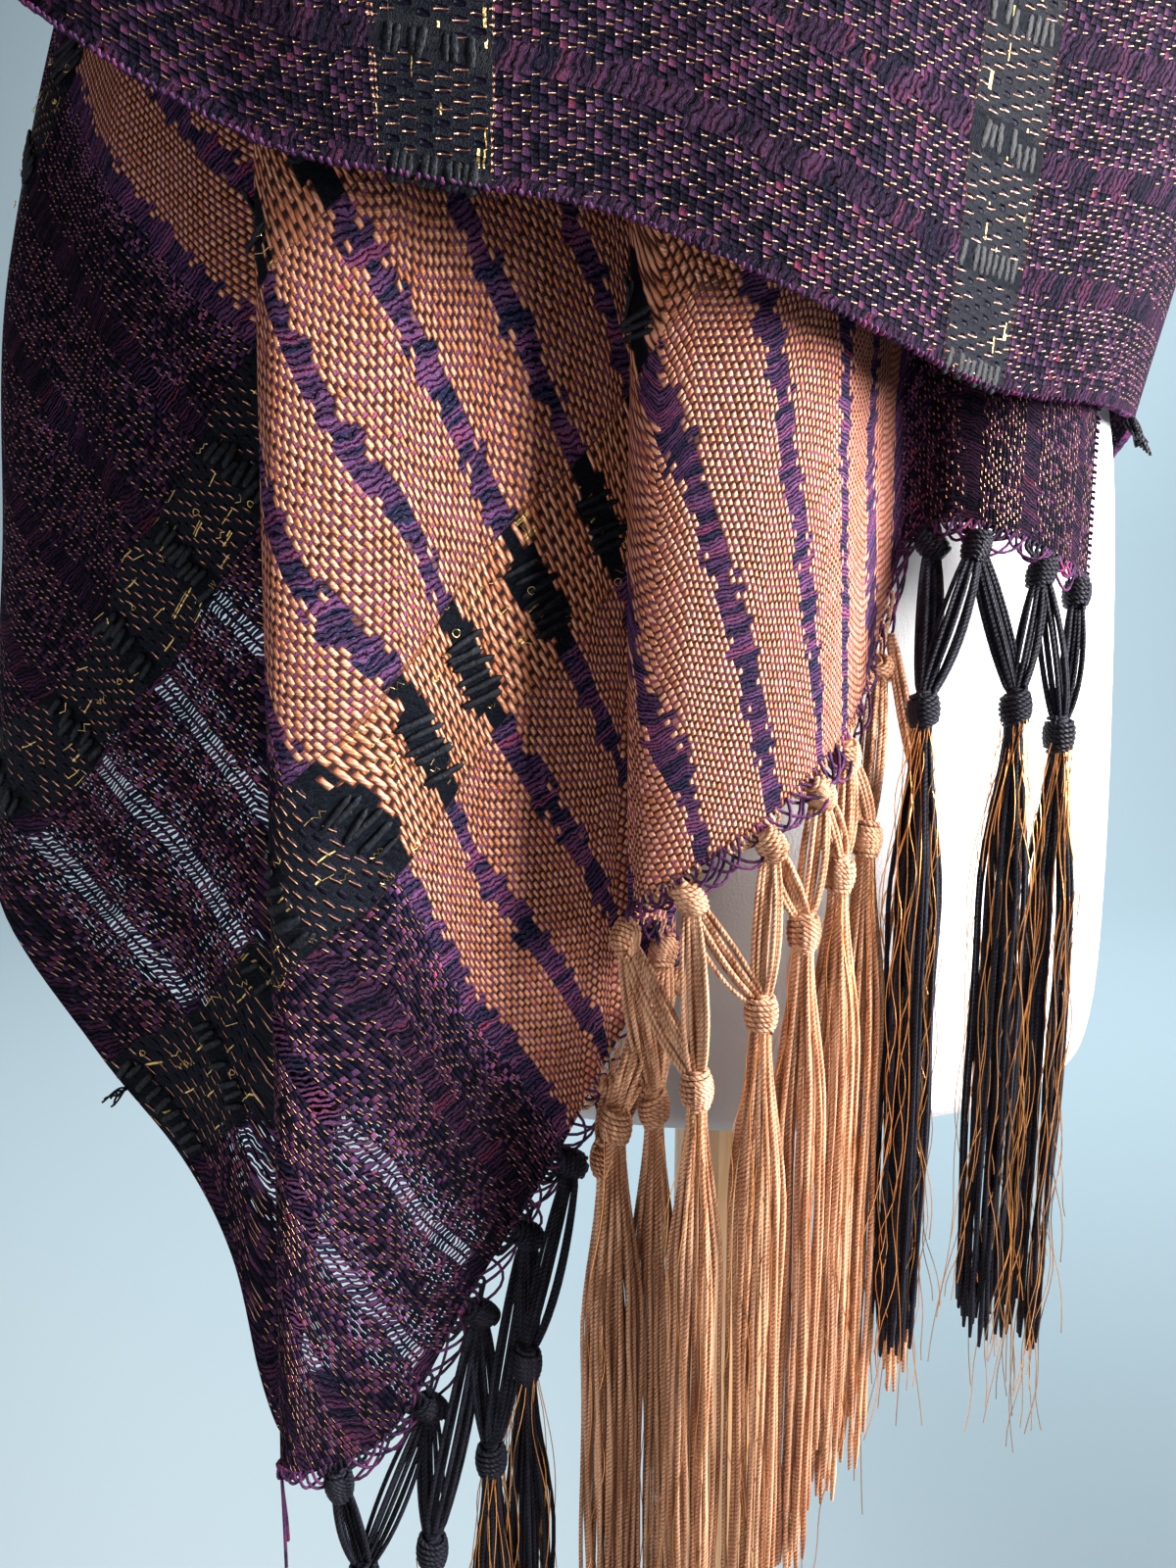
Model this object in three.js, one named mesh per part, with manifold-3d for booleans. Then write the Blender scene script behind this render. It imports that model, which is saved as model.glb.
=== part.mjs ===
// A handwoven pashmina shawl draped on a limbless dress form.
// Millimetres, +Z up. The origin is on the floor, under the middle of the stand's pole; the form faces -Y.
// The shawl is one strip of cloth. Its first end hangs down the front, over the left-hand shoulder. From there
// it goes round the back, round the right-hand shoulder, across the front, and over the left-hand shoulder
// again, so that its other end hangs down the back. Each stretch of it is a thin wall of its own.
import * as THREE from 'three';
import { mergeVertices } from 'three/addons/utils/BufferGeometryUtils.js';
import Module from 'manifold-3d';

// ---- driving dimensions ----
const CLOTH_THICKNESS = 2.0;
const SEAM_GAP = 0.4;               // between two stretches of the cloth
const STRIP_EDGES = [1.1, 4.2];     // the fringe's backing runs between these distances below the hem
const RIM_HEIGHT = 820;             // the lower rim of the form, above the floor
const POLE_DIAMETER = 50;
const BASE_DIAMETER = 420;
const BASE_THICKNESS = 24;
const STEPS_DOWN_FRONT = 13;        // rows of the front end, from the shoulder to the hem
const STEPS_PER_SECTION = 3;        // of the wrapped cloth, along the warp
const STEPS_ACROSS = 13;            // of the wrapped cloth, from selvedge to selvedge

const COLOURS = {
  darkCloth: 0x2c2036, tanYarn: 0xc08a62, blackYarn: 0x191820, formCloth: 0xe9e6e2, wood: 0xd2a36f,
};

// ---- the dress form and its stand ----

// Height above the rim, half width and half depth of the torso, and how far the section thins to its sides.
const TORSO_SECTIONS = [
  { up: 0, wide: 146, deep: 95, thin: 0 }, { up: 5, wide: 155, deep: 104, thin: 0 },
  { up: 18, wide: 162, deep: 110, thin: 0 }, { up: 60, wide: 165, deep: 113, thin: 0 },
  { up: 150, wide: 163, deep: 112, thin: 0 }, { up: 260, wide: 156, deep: 107, thin: 0 },
  { up: 340, wide: 142, deep: 99, thin: 0 }, { up: 420, wide: 148, deep: 106, thin: 0 },
  { up: 480, wide: 162, deep: 110, thin: 0.1 }, { up: 535, wide: 177, deep: 98, thin: 0.4 },
  { up: 569, wide: 179, deep: 80, thin: 0.8 }, { up: 595.5, wide: 151, deep: 64, thin: 1 },
  { up: 616, wide: 110, deep: 55, thin: 1 }, { up: 629, wide: 78, deep: 50, thin: 0.7 },
  { up: 642, wide: 57, deep: 48, thin: 0 }, { up: 668, wide: 53, deep: 47, thin: 0 },
];
const TORSO_SIDES = 24;
const NECK_CAP_THICKNESS = 12;
const POLE_SOCKET_DEPTH = 60;       // how far the pole reaches up into the torso

// How far out an oval section lies at a sine of its turn.
const sideReach = (sine, deep, thin) => deep * sine * THREE.MathUtils.lerp(1, Math.abs(sine), thin);

// A closed body through level oval rings, each with its height and its two half widths.
function ovalBody(rings, sides) {
  const positions = [];
  for (const ring of rings) {
    for (let k = 0; k < sides; k++) {
      const turn = (2 * Math.PI * k) / sides;
      positions.push(ring.wide * Math.cos(turn), sideReach(Math.sin(turn), ring.deep, ring.thin ?? 0), ring.z);
    }
  }
  const index = [];
  for (let r = 0; r + 1 < rings.length; r++) {
    for (let k = 0; k < sides; k++) {
      const a = r * sides + k;
      const b = r * sides + ((k + 1) % sides);
      index.push(a, b, b + sides, a, b + sides, a + sides);
    }
  }
  const last = (rings.length - 1) * sides;
  for (let k = 1; k + 1 < sides; k++) {
    index.push(0, k + 1, k);
    index.push(last, last + k, last + k + 1);
  }
  return indexedGeometry(positions, index);
}

function indexedGeometry(positions, index) {
  const geometry = new THREE.BufferGeometry();
  geometry.setAttribute('position', new THREE.Float32BufferAttribute(positions, 3));
  geometry.setIndex(index);
  geometry.computeVertexNormals();
  return geometry;
}

// ---- cloth as a wall on a grid of points ----

// Catmull-Rom interpolation through a list of Vector3, at a place counted in list steps.
function along(points, place) {
  const i = Math.min(Math.max(Math.floor(place), 0), points.length - 2);
  const t = place - i;
  const p1 = points[i];
  const p2 = points[i + 1];
  const p0 = points[i - 1] ?? p1.clone().multiplyScalar(2).sub(p2);
  const p3 = points[i + 2] ?? p2.clone().multiplyScalar(2).sub(p1);
  const weights = [
    0.5 * (-t + 2 * t * t - t * t * t), 0.5 * (2 - 5 * t * t + 3 * t * t * t),
    0.5 * (t + 4 * t * t - 3 * t * t * t), 0.5 * (-t * t + t * t * t),
  ];
  const result = new THREE.Vector3();
  [p0, p1, p2, p3].forEach((p, k) => result.addScaledVector(p, weights[k]));
  return result;
}

// The unit normal of a grid of points at row i, column j. It points in towards the body.
function gridNormal(grid, i, j) {
  const rows = grid.length;
  const columns = grid[0].length;
  const down = grid[Math.min(i + 1, rows - 1)][j].clone().sub(grid[Math.max(i - 1, 0)][j]);
  const side = grid[i][Math.min(j + 1, columns - 1)].clone().sub(grid[i][Math.max(j - 1, 0)]);
  return side.cross(down).normalize();
}

const gridNormals = (grid) => grid.map((row, i) => row.map((_, j) => gridNormal(grid, i, j)));

// A closed wall around a grid of mid-surface points. Rows run down, columns run towards the viewer's right
// on the front.
function clothWall(grid, normals = gridNormals(grid)) {
  const rows = grid.length;
  const columns = grid[0].length;
  const positions = [];
  for (const side of [1, -1]) {
    for (let i = 0; i < rows; i++) {
      for (let j = 0; j < columns; j++) {
        const point = grid[i][j].clone().addScaledVector(normals[i][j], (-side * CLOTH_THICKNESS) / 2);
        positions.push(point.x, point.y, point.z);
      }
    }
  }
  const at = (layer, i, j) => layer * rows * columns + i * columns + j;
  const index = [];
  const quad = (a, b, c, d) => index.push(a, b, c, a, c, d);
  for (let i = 0; i + 1 < rows; i++) {
    for (let j = 0; j + 1 < columns; j++) {
      quad(at(0, i, j), at(0, i + 1, j), at(0, i + 1, j + 1), at(0, i, j + 1));
      quad(at(1, i, j), at(1, i, j + 1), at(1, i + 1, j + 1), at(1, i + 1, j));
    }
  }
  const edge = [];
  for (let j = 0; j < columns; j++) edge.push([0, j]);
  for (let i = 1; i < rows; i++) edge.push([i, columns - 1]);
  for (let j = columns - 2; j >= 0; j--) edge.push([rows - 1, j]);
  for (let i = rows - 2; i > 0; i--) edge.push([i, 0]);
  edge.forEach(([i, j], k) => {
    const [i2, j2] = edge[(k + 1) % edge.length];
    quad(at(0, i, j), at(0, i2, j2), at(1, i2, j2), at(1, i, j));
  });
  return indexedGeometry(positions, index);
}

// ---- the front end: four panels between deep folds ----

// One row for each column of the cloth, from the left-hand side to the right-hand selvedge:
// its place on the shoulder ridge, at the chest, at the waist and at the rim's height, and its lower end.
const CHEST_HEIGHT = 1290;
const WAIST_HEIGHT = 1150;
const FRONT_COLUMNS = [
  // ridge x, chest x and y, waist x and y, rim-height x and y, height of the hem
  { ridge: -196, chest: [-232, -7], waist: [-268, -14.5], rim: [-316, -36], hem: 1000 },
  { ridge: -193, chest: [-234, -48], waist: [-276, -62], rim: [-312, -84], hem: 958 },
  { ridge: -189, chest: [-224, -84], waist: [-262, -104], rim: [-286, -128], hem: 921 },
  { ridge: -184, chest: [-209, -100], waist: [-234, -122], rim: [-240, -146], hem: 874 },
  { ridge: -180, chest: [-197, -108], waist: [-206, -135], rim: [-208, -152], hem: 838 },
  { ridge: -176, chest: [-188, -112], waist: [-181, -143], rim: [-190, -157], hem: 805 },
  { ridge: -171, chest: [-176, -115], waist: [-146, -144], rim: [-176, -162], hem: 766 },
  { ridge: -167, chest: [-163, -117], waist: [-110, -138], rim: [-163, -165], hem: 750 },
  { ridge: -165, chest: [-157, -119], waist: [-103, -145], rim: [-157, -170], hem: 747 },
  { ridge: -163, chest: [-157, -125], waist: [-114, -153], rim: [-160, -174], hem: 746 },
  { ridge: -161, chest: [-163, -135], waist: [-156, -172], rim: [-166, -177], hem: 744 },
  { ridge: -158, chest: [-160, -142], waist: [-157, -181], rim: [-167, -183], hem: 743 },
  { ridge: -154, chest: [-148, -145], waist: [-142, -183], rim: [-156, -184], hem: 742 },
  { ridge: -148, chest: [-130, -143], waist: [-120, -178], rim: [-131, -175], hem: 750 },
  { ridge: -141, chest: [-110, -137], waist: [-96, -167], rim: [-105, -163], hem: 796 },
  { ridge: -134, chest: [-92, -132], waist: [-72, -155], rim: [-82, -153], hem: 832 },
  { ridge: -129, chest: [-78, -129], waist: [-54, -147], rim: [-66, -148], hem: 864 },
  { ridge: -126, chest: [-68, -128], waist: [-38, -141], rim: [-46, -141], hem: 902 },
  { ridge: -124, chest: [-65, -130], waist: [-31, -146], rim: [-40, -147], hem: 914 },
  { ridge: -122, chest: [-67, -136], waist: [-40, -155], rim: [-44, -156], hem: 922 },
  { ridge: -120, chest: [-71, -144], waist: [-55, -168], rim: [-53, -168], hem: 929 },
  { ridge: -117, chest: [-66, -151], waist: [-53, -175], rim: [-51, -175], hem: 935 },
  { ridge: -113, chest: [-54, -154], waist: [-38, -179], rim: [-37, -178], hem: 945 },
  { ridge: -108, chest: [-37, -152], waist: [-15, -178], rim: [-14, -176], hem: 960 },
  { ridge: -103, chest: [-24, -147], waist: [5, -168], rim: [5, -167], hem: 977 },
  { ridge: -98, chest: [-12, -139], waist: [20, -146], rim: [20, -145], hem: 989 },
  { ridge: -93, chest: [-2, -130], waist: [31, -124], rim: [32, -125], hem: 1008 },
  { ridge: -88, chest: [7, -126], waist: [42, -116], rim: [43, -118], hem: 1046 },
  { ridge: -83, chest: [17, -130], waist: [55, -124], rim: [56, -126], hem: 1054 },
  { ridge: -78, chest: [31, -132], waist: [76, -127], rim: [76, -129], hem: 1049 },
  { ridge: -73, chest: [45, -130], waist: [97, -119], rim: [97, -121], hem: 1040 },
  { ridge: -68, chest: [54, -125], waist: [109, -107], rim: [110, -109], hem: 1035 },
];

// The ridge of the shoulder, from its tip up to the neck, as the first layer of cloth lies on it.
const RIDGE_TIP = { x: -196, z: 1392 };
const RIDGE_NECK = { x: -68, z: 1462 };
const ridgeHeight = (x) => THREE.MathUtils.mapLinear(x, RIDGE_TIP.x, RIDGE_NECK.x, RIDGE_TIP.z, RIDGE_NECK.z);

// The point of a column at a height, on the straight run between the waist and the rim.
function lowerRun(column, z) {
  const share = (WAIST_HEIGHT - z) / (WAIST_HEIGHT - RIM_HEIGHT);
  const x = THREE.MathUtils.lerp(column.waist[0], column.rim[0], share);
  const y = THREE.MathUtils.lerp(column.waist[1], column.rim[1], share);
  return new THREE.Vector3(x, y, z);
}

// The depth of the torso's front at a place, measured towards the viewer.
function torsoFront(x, z) {
  const above = TORSO_SECTIONS.findIndex((s) => RIM_HEIGHT + s.up > z);
  const [low, high] = [TORSO_SECTIONS[above - 1], TORSO_SECTIONS[above]];
  const share = (z - RIM_HEIGHT - low.up) / (high.up - low.up);
  const wide = THREE.MathUtils.lerp(low.wide, high.wide, share);
  const deep = THREE.MathUtils.lerp(low.deep, high.deep, share);
  const thin = THREE.MathUtils.lerp(low.thin, high.thin, share);
  return sideReach(Math.sqrt(Math.max(0, 1 - (x / wide) ** 2)), deep, thin);
}

// Where a column comes down over the front of the shoulder, clear of the torso.
const COLLAR_DROP = 0.22;
const COLLAR_SHIFT = 0.18;
const COLLAR_CLEARANCE = 12;
function collarPoint(column) {
  const top = ridgeHeight(column.ridge);
  const x = THREE.MathUtils.lerp(column.ridge, column.chest[0], COLLAR_SHIFT);
  const z = THREE.MathUtils.lerp(top, CHEST_HEIGHT, COLLAR_DROP);
  const halfway = (COLLAR_DROP + 0.15) * column.chest[1];
  return new THREE.Vector3(x, Math.min(halfway, -torsoFront(x, z) - COLLAR_CLEARANCE), z);
}

// A column as a polyline of points from the ridge to its hem.
function frontColumnPoints(column) {
  const controls = [
    new THREE.Vector3(column.ridge, -1.6, ridgeHeight(column.ridge)),
    ...(column.ridge < RIDGE_TIP.x + 10 ? [] : [collarPoint(column)]),
    new THREE.Vector3(column.chest[0], column.chest[1], CHEST_HEIGHT),
    lowerRun(column, WAIST_HEIGHT),
    lowerRun(column, (WAIST_HEIGHT + column.hem) / 2),
    lowerRun(column, column.hem),
  ];
  const points = [];
  for (let i = 0; i <= STEPS_DOWN_FRONT; i++) {
    const place = (i / STEPS_DOWN_FRONT) * (controls.length - 1);
    points.push(along(controls, place));
  }
  return points;
}

function frontGrid() {
  const columns = FRONT_COLUMNS.map(frontColumnPoints);
  return columns[0].map((_, row) => columns.map((points) => points[row]));
}

// ---- the wrapped cloth: from the left-hand side round the back and across the front ----

// Each section runs across the cloth, from the neck to the lower selvedge, through five points.
const WRAP_SECTIONS = [
  // 0 left-hand side, where the front end begins
  { neck: [-68, 0, 1462], shoulder: [-196, 0, 1392], upper: [-232, -5, 1290], lower: [-268, -12, 1150], hem: [-292, -22, 1000] },
  // 1 to 5 the back, from left to right
  { neck: [-55, 42, 1466], shoulder: [-150, 62, 1400], upper: [-205, 85, 1280], lower: [-232, 100, 1150], hem: [-252, 108, 1035] },
  { neck: [-30, 60, 1470], shoulder: [-85, 100, 1395], upper: [-100, 128, 1280], lower: [-105, 135, 1150], hem: [-110, 140, 1022] },
  { neck: [0, 66, 1472], shoulder: [0, 108, 1395], upper: [0, 130, 1280], lower: [0, 138, 1150], hem: [0, 142, 1012] },
  { neck: [30, 60, 1470], shoulder: [85, 100, 1395], upper: [100, 126, 1280], lower: [105, 130, 1150], hem: [110, 132, 1030] },
  { neck: [55, 42, 1466], shoulder: [150, 60, 1400], upper: [182, 78, 1285], lower: [174, 84, 1170], hem: [166, 86, 1064] },
  // 6 right-hand shoulder and side
  { neck: [68, 0, 1460], shoulder: [196, 0, 1392], upper: [204, 0, 1290], lower: [182, -2, 1180], hem: [164, -6, 1094] },
  // 7 to 13 across the front, over the first end
  { neck: [58, -42, 1452], shoulder: [124, -82, 1390], upper: [152, -108, 1290], lower: [138, -112, 1190], hem: [114, -108, 1093] },
  { neck: [28, -64, 1440], shoulder: [64, -122, 1370], upper: [76, -148, 1280], lower: [68, -153, 1185], hem: [58, -152, 1093] },
  { neck: [-5, -74, 1436], shoulder: [8, -136, 1360], upper: [10, -170, 1280], lower: [7, -184, 1190], hem: [3, -186, 1108] },
  { neck: [-35, -72, 1442], shoulder: [-44, -142, 1355], upper: [-52, -180, 1285], lower: [-55, -192, 1205], hem: [-57, -193, 1131] },
  { neck: [-55, -62, 1452], shoulder: [-88, -132, 1360], upper: [-104, -177, 1290], lower: [-110, -196, 1215], hem: [-110, -198, 1139] },
  { neck: [-68, -45, 1464], shoulder: [-124, -112, 1375], upper: [-153, -162, 1300], lower: [-162, -192, 1225], hem: [-156, -199, 1149] },
  { neck: [-74, -22, 1478], shoulder: [-160, -74, 1410], upper: [-199, -124, 1330], lower: [-216, -168, 1260], hem: [-219, -188, 1188] },
  // 14 over the left-hand shoulder
  { neck: [-76, 2, 1484], shoulder: [-178, -8, 1428], upper: [-232, -28, 1378], lower: [-262, -60, 1314], hem: [-269, -92, 1254] },
  { neck: [-70, 34, 1490], shoulder: [-158, 60, 1432], upper: [-226, 64, 1378], lower: [-270, 48, 1316], hem: [-288, 20, 1264] },
  // 16 to 19 down the back, to the other end
  { neck: [-58, 88, 1462], shoulder: [-112, 120, 1410], upper: [-174, 128, 1354], lower: [-236, 118, 1292], hem: [-272, 92, 1234] },
  { neck: [-45, 134, 1368], shoulder: [-95, 154, 1330], upper: [-155, 162, 1284], lower: [-214, 152, 1228], hem: [-258, 126, 1170] },
  { neck: [-40, 155, 1240], shoulder: [-90, 163, 1210], upper: [-150, 168, 1175], lower: [-207, 160, 1128], hem: [-248, 140, 1078] },
  { neck: [-38, 162, 1120], shoulder: [-88, 168, 1082], upper: [-146, 172, 1040], lower: [-202, 165, 992], hem: [-242, 150, 950] },
];

// Soft folds raised out of the wrapped cloth. A lengthwise fold keeps its place across the cloth (0 at the
// neck, 1 at the hem); its height is given at three sections between which it changes evenly.
const LENGTHWISE_FOLDS = [
  { across: 0.1, width: 0.045, from: 6, to: 14, end: 19, height: 9 },
  { across: 0.24, width: 0.05, from: 7, to: 14, end: 19, height: 12 },
  { across: 0.4, width: 0.05, from: 8, to: 14.5, end: 19, height: 12 },
  { across: 0.58, width: 0.055, from: 11, to: 15, end: 19, height: 13 },
  { across: 0.78, width: 0.055, from: 13, to: 17, end: 19, height: 13 },
];
// A hanging fold keeps its place along the cloth and grows towards the lower selvedge.
const HANGING_FOLDS = [
  { section: 0.55, width: 0.2, height: 9 }, { section: 1.5, width: 0.22, height: -7 },
  { section: 3.4, width: 0.16, height: 8 }, { section: 4.3, width: 0.18, height: 9 },
  { section: 5.3, width: 0.2, height: 5 },
];

const bump = (distance, width) => Math.exp(-((distance / width) ** 2));

function foldHeight(section, across) {
  let height = 0;
  for (const fold of LENGTHWISE_FOLDS) {
    const rise = THREE.MathUtils.smoothstep(section, fold.from, fold.to);
    const keep = 1 - 0.35 * THREE.MathUtils.smoothstep(section, fold.to, fold.end);
    height += fold.height * rise * keep * bump(across - fold.across, fold.width);
  }
  for (const fold of HANGING_FOLDS) {
    const growth = THREE.MathUtils.smoothstep(across, 0.25, 1);
    height += fold.height * growth * bump(section - fold.section, fold.width);
  }
  return height;
}

const SECTION_POINTS = ['neck', 'shoulder', 'upper', 'lower', 'hem'];
const wrapControls = SECTION_POINTS.map((name) => WRAP_SECTIONS.map((s) => new THREE.Vector3(...s[name])));

// The wrapped cloth's mid-surface before its folds, at a section place and a share across.
function wrapBase(section, across) {
  const crossing = wrapControls.map((line) => along(line, section));
  return along(crossing, across * (crossing.length - 1));
}

function wrapPoint(section, across) {
  const step = 0.02;
  const base = wrapBase(section, across);
  const forward = wrapBase(Math.min(section + step, WRAP_SECTIONS.length - 1), across);
  const backward = wrapBase(Math.max(section - step, 0), across);
  const outer = wrapBase(section, Math.min(across + step, 1));
  const inner = wrapBase(section, Math.max(across - step, 0));
  const normal = forward.sub(backward).cross(outer.sub(inner)).normalize();
  return base.addScaledVector(normal, -foldHeight(section, across));
}

// A stretch between two section places, as points and their normals. Rows run from neck to hem, columns along
// the cloth. The grid is made a column wider on each side, so that two stretches that meet share their normals.
function wrapStretch(from, to) {
  const steps = Math.round((to - from) * STEPS_PER_SECTION);
  const wide = [];
  for (let i = 0; i <= STEPS_ACROSS; i++) {
    const row = [];
    for (let j = -1; j <= steps + 1; j++) {
      const section = THREE.MathUtils.clamp(from + j / STEPS_PER_SECTION, 0, WRAP_SECTIONS.length - 1);
      row.push(wrapPoint(section, i / STEPS_ACROSS));
    }
    wide.push(row);
  }
  const normals = gridNormals(wide).map((row) => row.slice(1, -1));
  const grid = wide.map((row) => row.slice(1, -1));
  trimColumn(grid, 0, 1);
  trimColumn(grid, steps, steps - 1);
  return { grid, normals };
}

// Draws one edge column of a grid back along the cloth, to leave the gap to the next stretch.
function trimColumn(grid, column, neighbour) {
  for (const row of grid) {
    const inward = row[neighbour].clone().sub(row[column]).normalize();
    row[column] = row[column].clone().addScaledVector(inward, SEAM_GAP / 2);
  }
}

// ---- knotted fringe ----
// Each warp group ends in a knot. Below it the group parts into two bundles, and a second row of knots joins
// each bundle to its neighbour's. The tassels hang from the second row.

const KNOT_RADIUS = 5.2;
const FIRST_KNOT_DROP = 6.8;        // from the hem, square to it
const BUNDLE_RADIUS = 3;
const STRAND_RADIUS = 1.1;
const STRAND_SPREAD = 4.2;
const TASSEL_LENGTH = 232;

// The front end's fringe: the stretch of the hem that each colour takes up, counted in its columns, the place
// of each first-row knot on the hem, and the second-row knot below each pair of them.
const FRONT_FRINGE = {
  dark_left: {
    colour: COLOURS.blackYarn, hem: [12, 15.4], strands: 7,
    knots: [12.35, 13.25, 13.85, 14.5, 15.2],
    tassels: [[-143, -184, 702], [-120, -181, 710], [-100, -175, 740], [-88, -169, 772]],
  },
  tan: {
    colour: COLOURS.tanYarn, hem: [15.6, 26.8], strands: 6,
    knots: [16, 17, 18.6, 20, 21.9, 23, 23.85, 24.7, 26],
    tassels: [[-61, -166, 845], [-58, -172, 860], [-45, -163, 862], [-33, -184, 878], [-13, -181, 902],
      [1, -173, 926], [14, -161, 942], [26, -146, 950]],
  },
  dark_right: {
    colour: COLOURS.blackYarn, hem: [27, 31], strands: 8,
    knots: [27.3, 28.5, 29.6, 30.6],
    tassels: [[43, -146, 993], [76, -138, 993], [94, -131, 983]],
  },
};

let kit;                            // manifold-3d, for joining the pieces of the fringe

function solidOf(geometry) {
  const bare = geometry.clone();
  bare.deleteAttribute('normal');
  bare.deleteAttribute('uv');
  const merged = mergeVertices(bare, 1e-4);
  const mesh = new kit.Mesh({
    numProp: 3,
    vertProperties: new Float32Array(merged.attributes.position.array),
    triVerts: new Uint32Array(merged.index.array),
  });
  return new kit.Manifold(mesh);
}

function geometryOf(solid) {
  const mesh = solid.getMesh();
  return indexedGeometry(Array.from(mesh.vertProperties), Array.from(mesh.triVerts));
}

// A straight prism between two points, with its own radius at each end.
function prism(start, finish, startRadius, finishRadius, sides) {
  const direction = finish.clone().sub(start).normalize();
  const turn = new THREE.Quaternion().setFromUnitVectors(new THREE.Vector3(0, 0, 1), direction);
  const positions = [];
  for (const [centre, radius] of [[start, startRadius], [finish, finishRadius]]) {
    for (let k = 0; k < sides; k++) {
      const angle = (2 * Math.PI * k) / sides;
      const corner = new THREE.Vector3(radius * Math.cos(angle), radius * Math.sin(angle), 0);
      corner.applyQuaternion(turn).add(centre);
      positions.push(corner.x, corner.y, corner.z);
    }
  }
  const index = [];
  for (let k = 0; k < sides; k++) {
    const next = (k + 1) % sides;
    index.push(k, next, next + sides, k, next + sides, k + sides);
  }
  for (let k = 1; k + 1 < sides; k++) {
    index.push(0, k + 1, k);
    index.push(sides, sides + k, sides + k + 1);
  }
  return solidOf(indexedGeometry(positions, index));
}

function knot(centre, radius) {
  const geometry = new THREE.IcosahedronGeometry(radius, 0);
  geometry.scale(1, 1, 1.15);
  geometry.translate(centre.x, centre.y, centre.z);
  return solidOf(geometry);
}

// One tassel: its knot, and strands that hang from it in a ring around the middle one.
function tassel(centre, count, turnOffset) {
  const parts = [knot(centre, KNOT_RADIUS)];
  for (let k = 0; k < count; k++) {
    const turn = (2 * Math.PI * k) / (count - 1) + turnOffset;
    const reach = k === 0 ? 0 : STRAND_SPREAD;
    const aside = new THREE.Vector3(reach * Math.cos(turn), reach * Math.sin(turn), 0);
    const length = TASSEL_LENGTH * (1 - 0.06 * Math.abs(Math.sin(3.7 * k + turnOffset)));
    const start = centre.clone().addScaledVector(aside, 0.7);
    const end = centre.clone().add(aside).add(new THREE.Vector3(0, 0, -length));
    parts.push(prism(start, end, STRAND_RADIUS, STRAND_RADIUS, 3));
  }
  return parts;
}

// The point at a place on a wall's lower edge, carried on by a distance square to that edge.
function belowHem(grid, place, distance) {
  const [above, hem] = grid.slice(-2);
  const [left, right] = [Math.max(Math.ceil(place) - 1, 0), Math.min(Math.floor(place) + 1, hem.length - 1)];
  const [low, high] = [Math.floor(place), Math.ceil(place)];
  const point = hem[low].clone().lerp(hem[high], place - low);
  const edge = hem[right].clone().sub(hem[left]).normalize();
  const down = point.clone().sub(above[low].clone().lerp(above[high], place - low));
  down.addScaledVector(edge, -down.dot(edge)).normalize();
  return point.addScaledVector(down, distance);
}

// The strip that backs the fringe runs just below the hem between two places on it.
function hemStrip(grid, [from, to]) {
  const places = [from];
  for (let place = Math.floor(from) + 1; place < to; place++) places.push(place);
  places.push(to);
  return solidOf(clothWall(STRIP_EDGES.map((drop) => places.map((p) => belowHem(grid, p, drop)))));
}

// Fuses the strip, the first-row knots, the bundles, and the tassels with their second-row knots.
function fringe(grid, part, tassels) {
  const heads = part.knots.map((place) => belowHem(grid, place, FIRST_KNOT_DROP));
  const parts = [hemStrip(grid, part.hem)];
  heads.forEach((head) => parts.push(knot(head, KNOT_RADIUS)));
  tassels.forEach((hanger, k) => {
    for (const head of [heads[k], heads[k + 1]]) {
      parts.push(prism(head, hanger, BUNDLE_RADIUS, BUNDLE_RADIUS, 3));
    }
    parts.push(...tassel(hanger, part.strands, 0.9 * k));
  });
  return geometryOf(kit.Manifold.union(parts));
}

// ---- assembly ----

const model = new THREE.Group();

function add(name, geometry, colour, roughness = 0.9) {
  const material = new THREE.MeshStandardMaterial({ color: colour, roughness, metalness: 0 });
  const mesh = new THREE.Mesh(geometry, material);
  mesh.name = name;
  model.add(mesh);
}

function addStand() {
  const rings = TORSO_SECTIONS.map((s) => ({ ...s, z: RIM_HEIGHT + s.up }));
  const socketRadius = POLE_DIAMETER / 2 + 0.3;
  const torso = solidOf(ovalBody(rings, TORSO_SIDES));
  const socket = new THREE.CylinderGeometry(socketRadius, socketRadius, 2 * POLE_SOCKET_DEPTH, TORSO_SIDES);
  socket.rotateX(Math.PI / 2);
  socket.translate(0, 0, RIM_HEIGHT);
  add('form_torso', geometryOf(torso.subtract(solidOf(socket))), COLOURS.formCloth);

  const top = TORSO_SECTIONS[TORSO_SECTIONS.length - 1];
  const capBottom = RIM_HEIGHT + top.up + 0.3;
  add('neck_cap', ovalBody([
    { z: capBottom, wide: top.wide + 3, deep: top.deep + 3 },
    { z: capBottom + NECK_CAP_THICKNESS * 0.6, wide: top.wide + 3, deep: top.deep + 3 },
    { z: capBottom + NECK_CAP_THICKNESS, wide: top.wide - 2, deep: top.deep - 2 },
  ], TORSO_SIDES), COLOURS.wood, 0.5);

  const poleBottom = BASE_THICKNESS + 0.3;
  const poleTop = RIM_HEIGHT + POLE_SOCKET_DEPTH - 0.3;
  const pole = new THREE.CylinderGeometry(POLE_DIAMETER / 2, POLE_DIAMETER / 2, poleTop - poleBottom, 24);
  pole.rotateX(Math.PI / 2);
  pole.translate(0, 0, (poleTop + poleBottom) / 2);
  add('pole', pole, COLOURS.wood, 0.5);

  const radius = BASE_DIAMETER / 2;
  add('base', ovalBody([
    { z: 0, wide: radius, deep: radius },
    { z: BASE_THICKNESS * 0.7, wide: radius, deep: radius },
    { z: BASE_THICKNESS, wide: radius - 8, deep: radius - 8 },
  ], 48), COLOURS.wood, 0.5);
}

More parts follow.
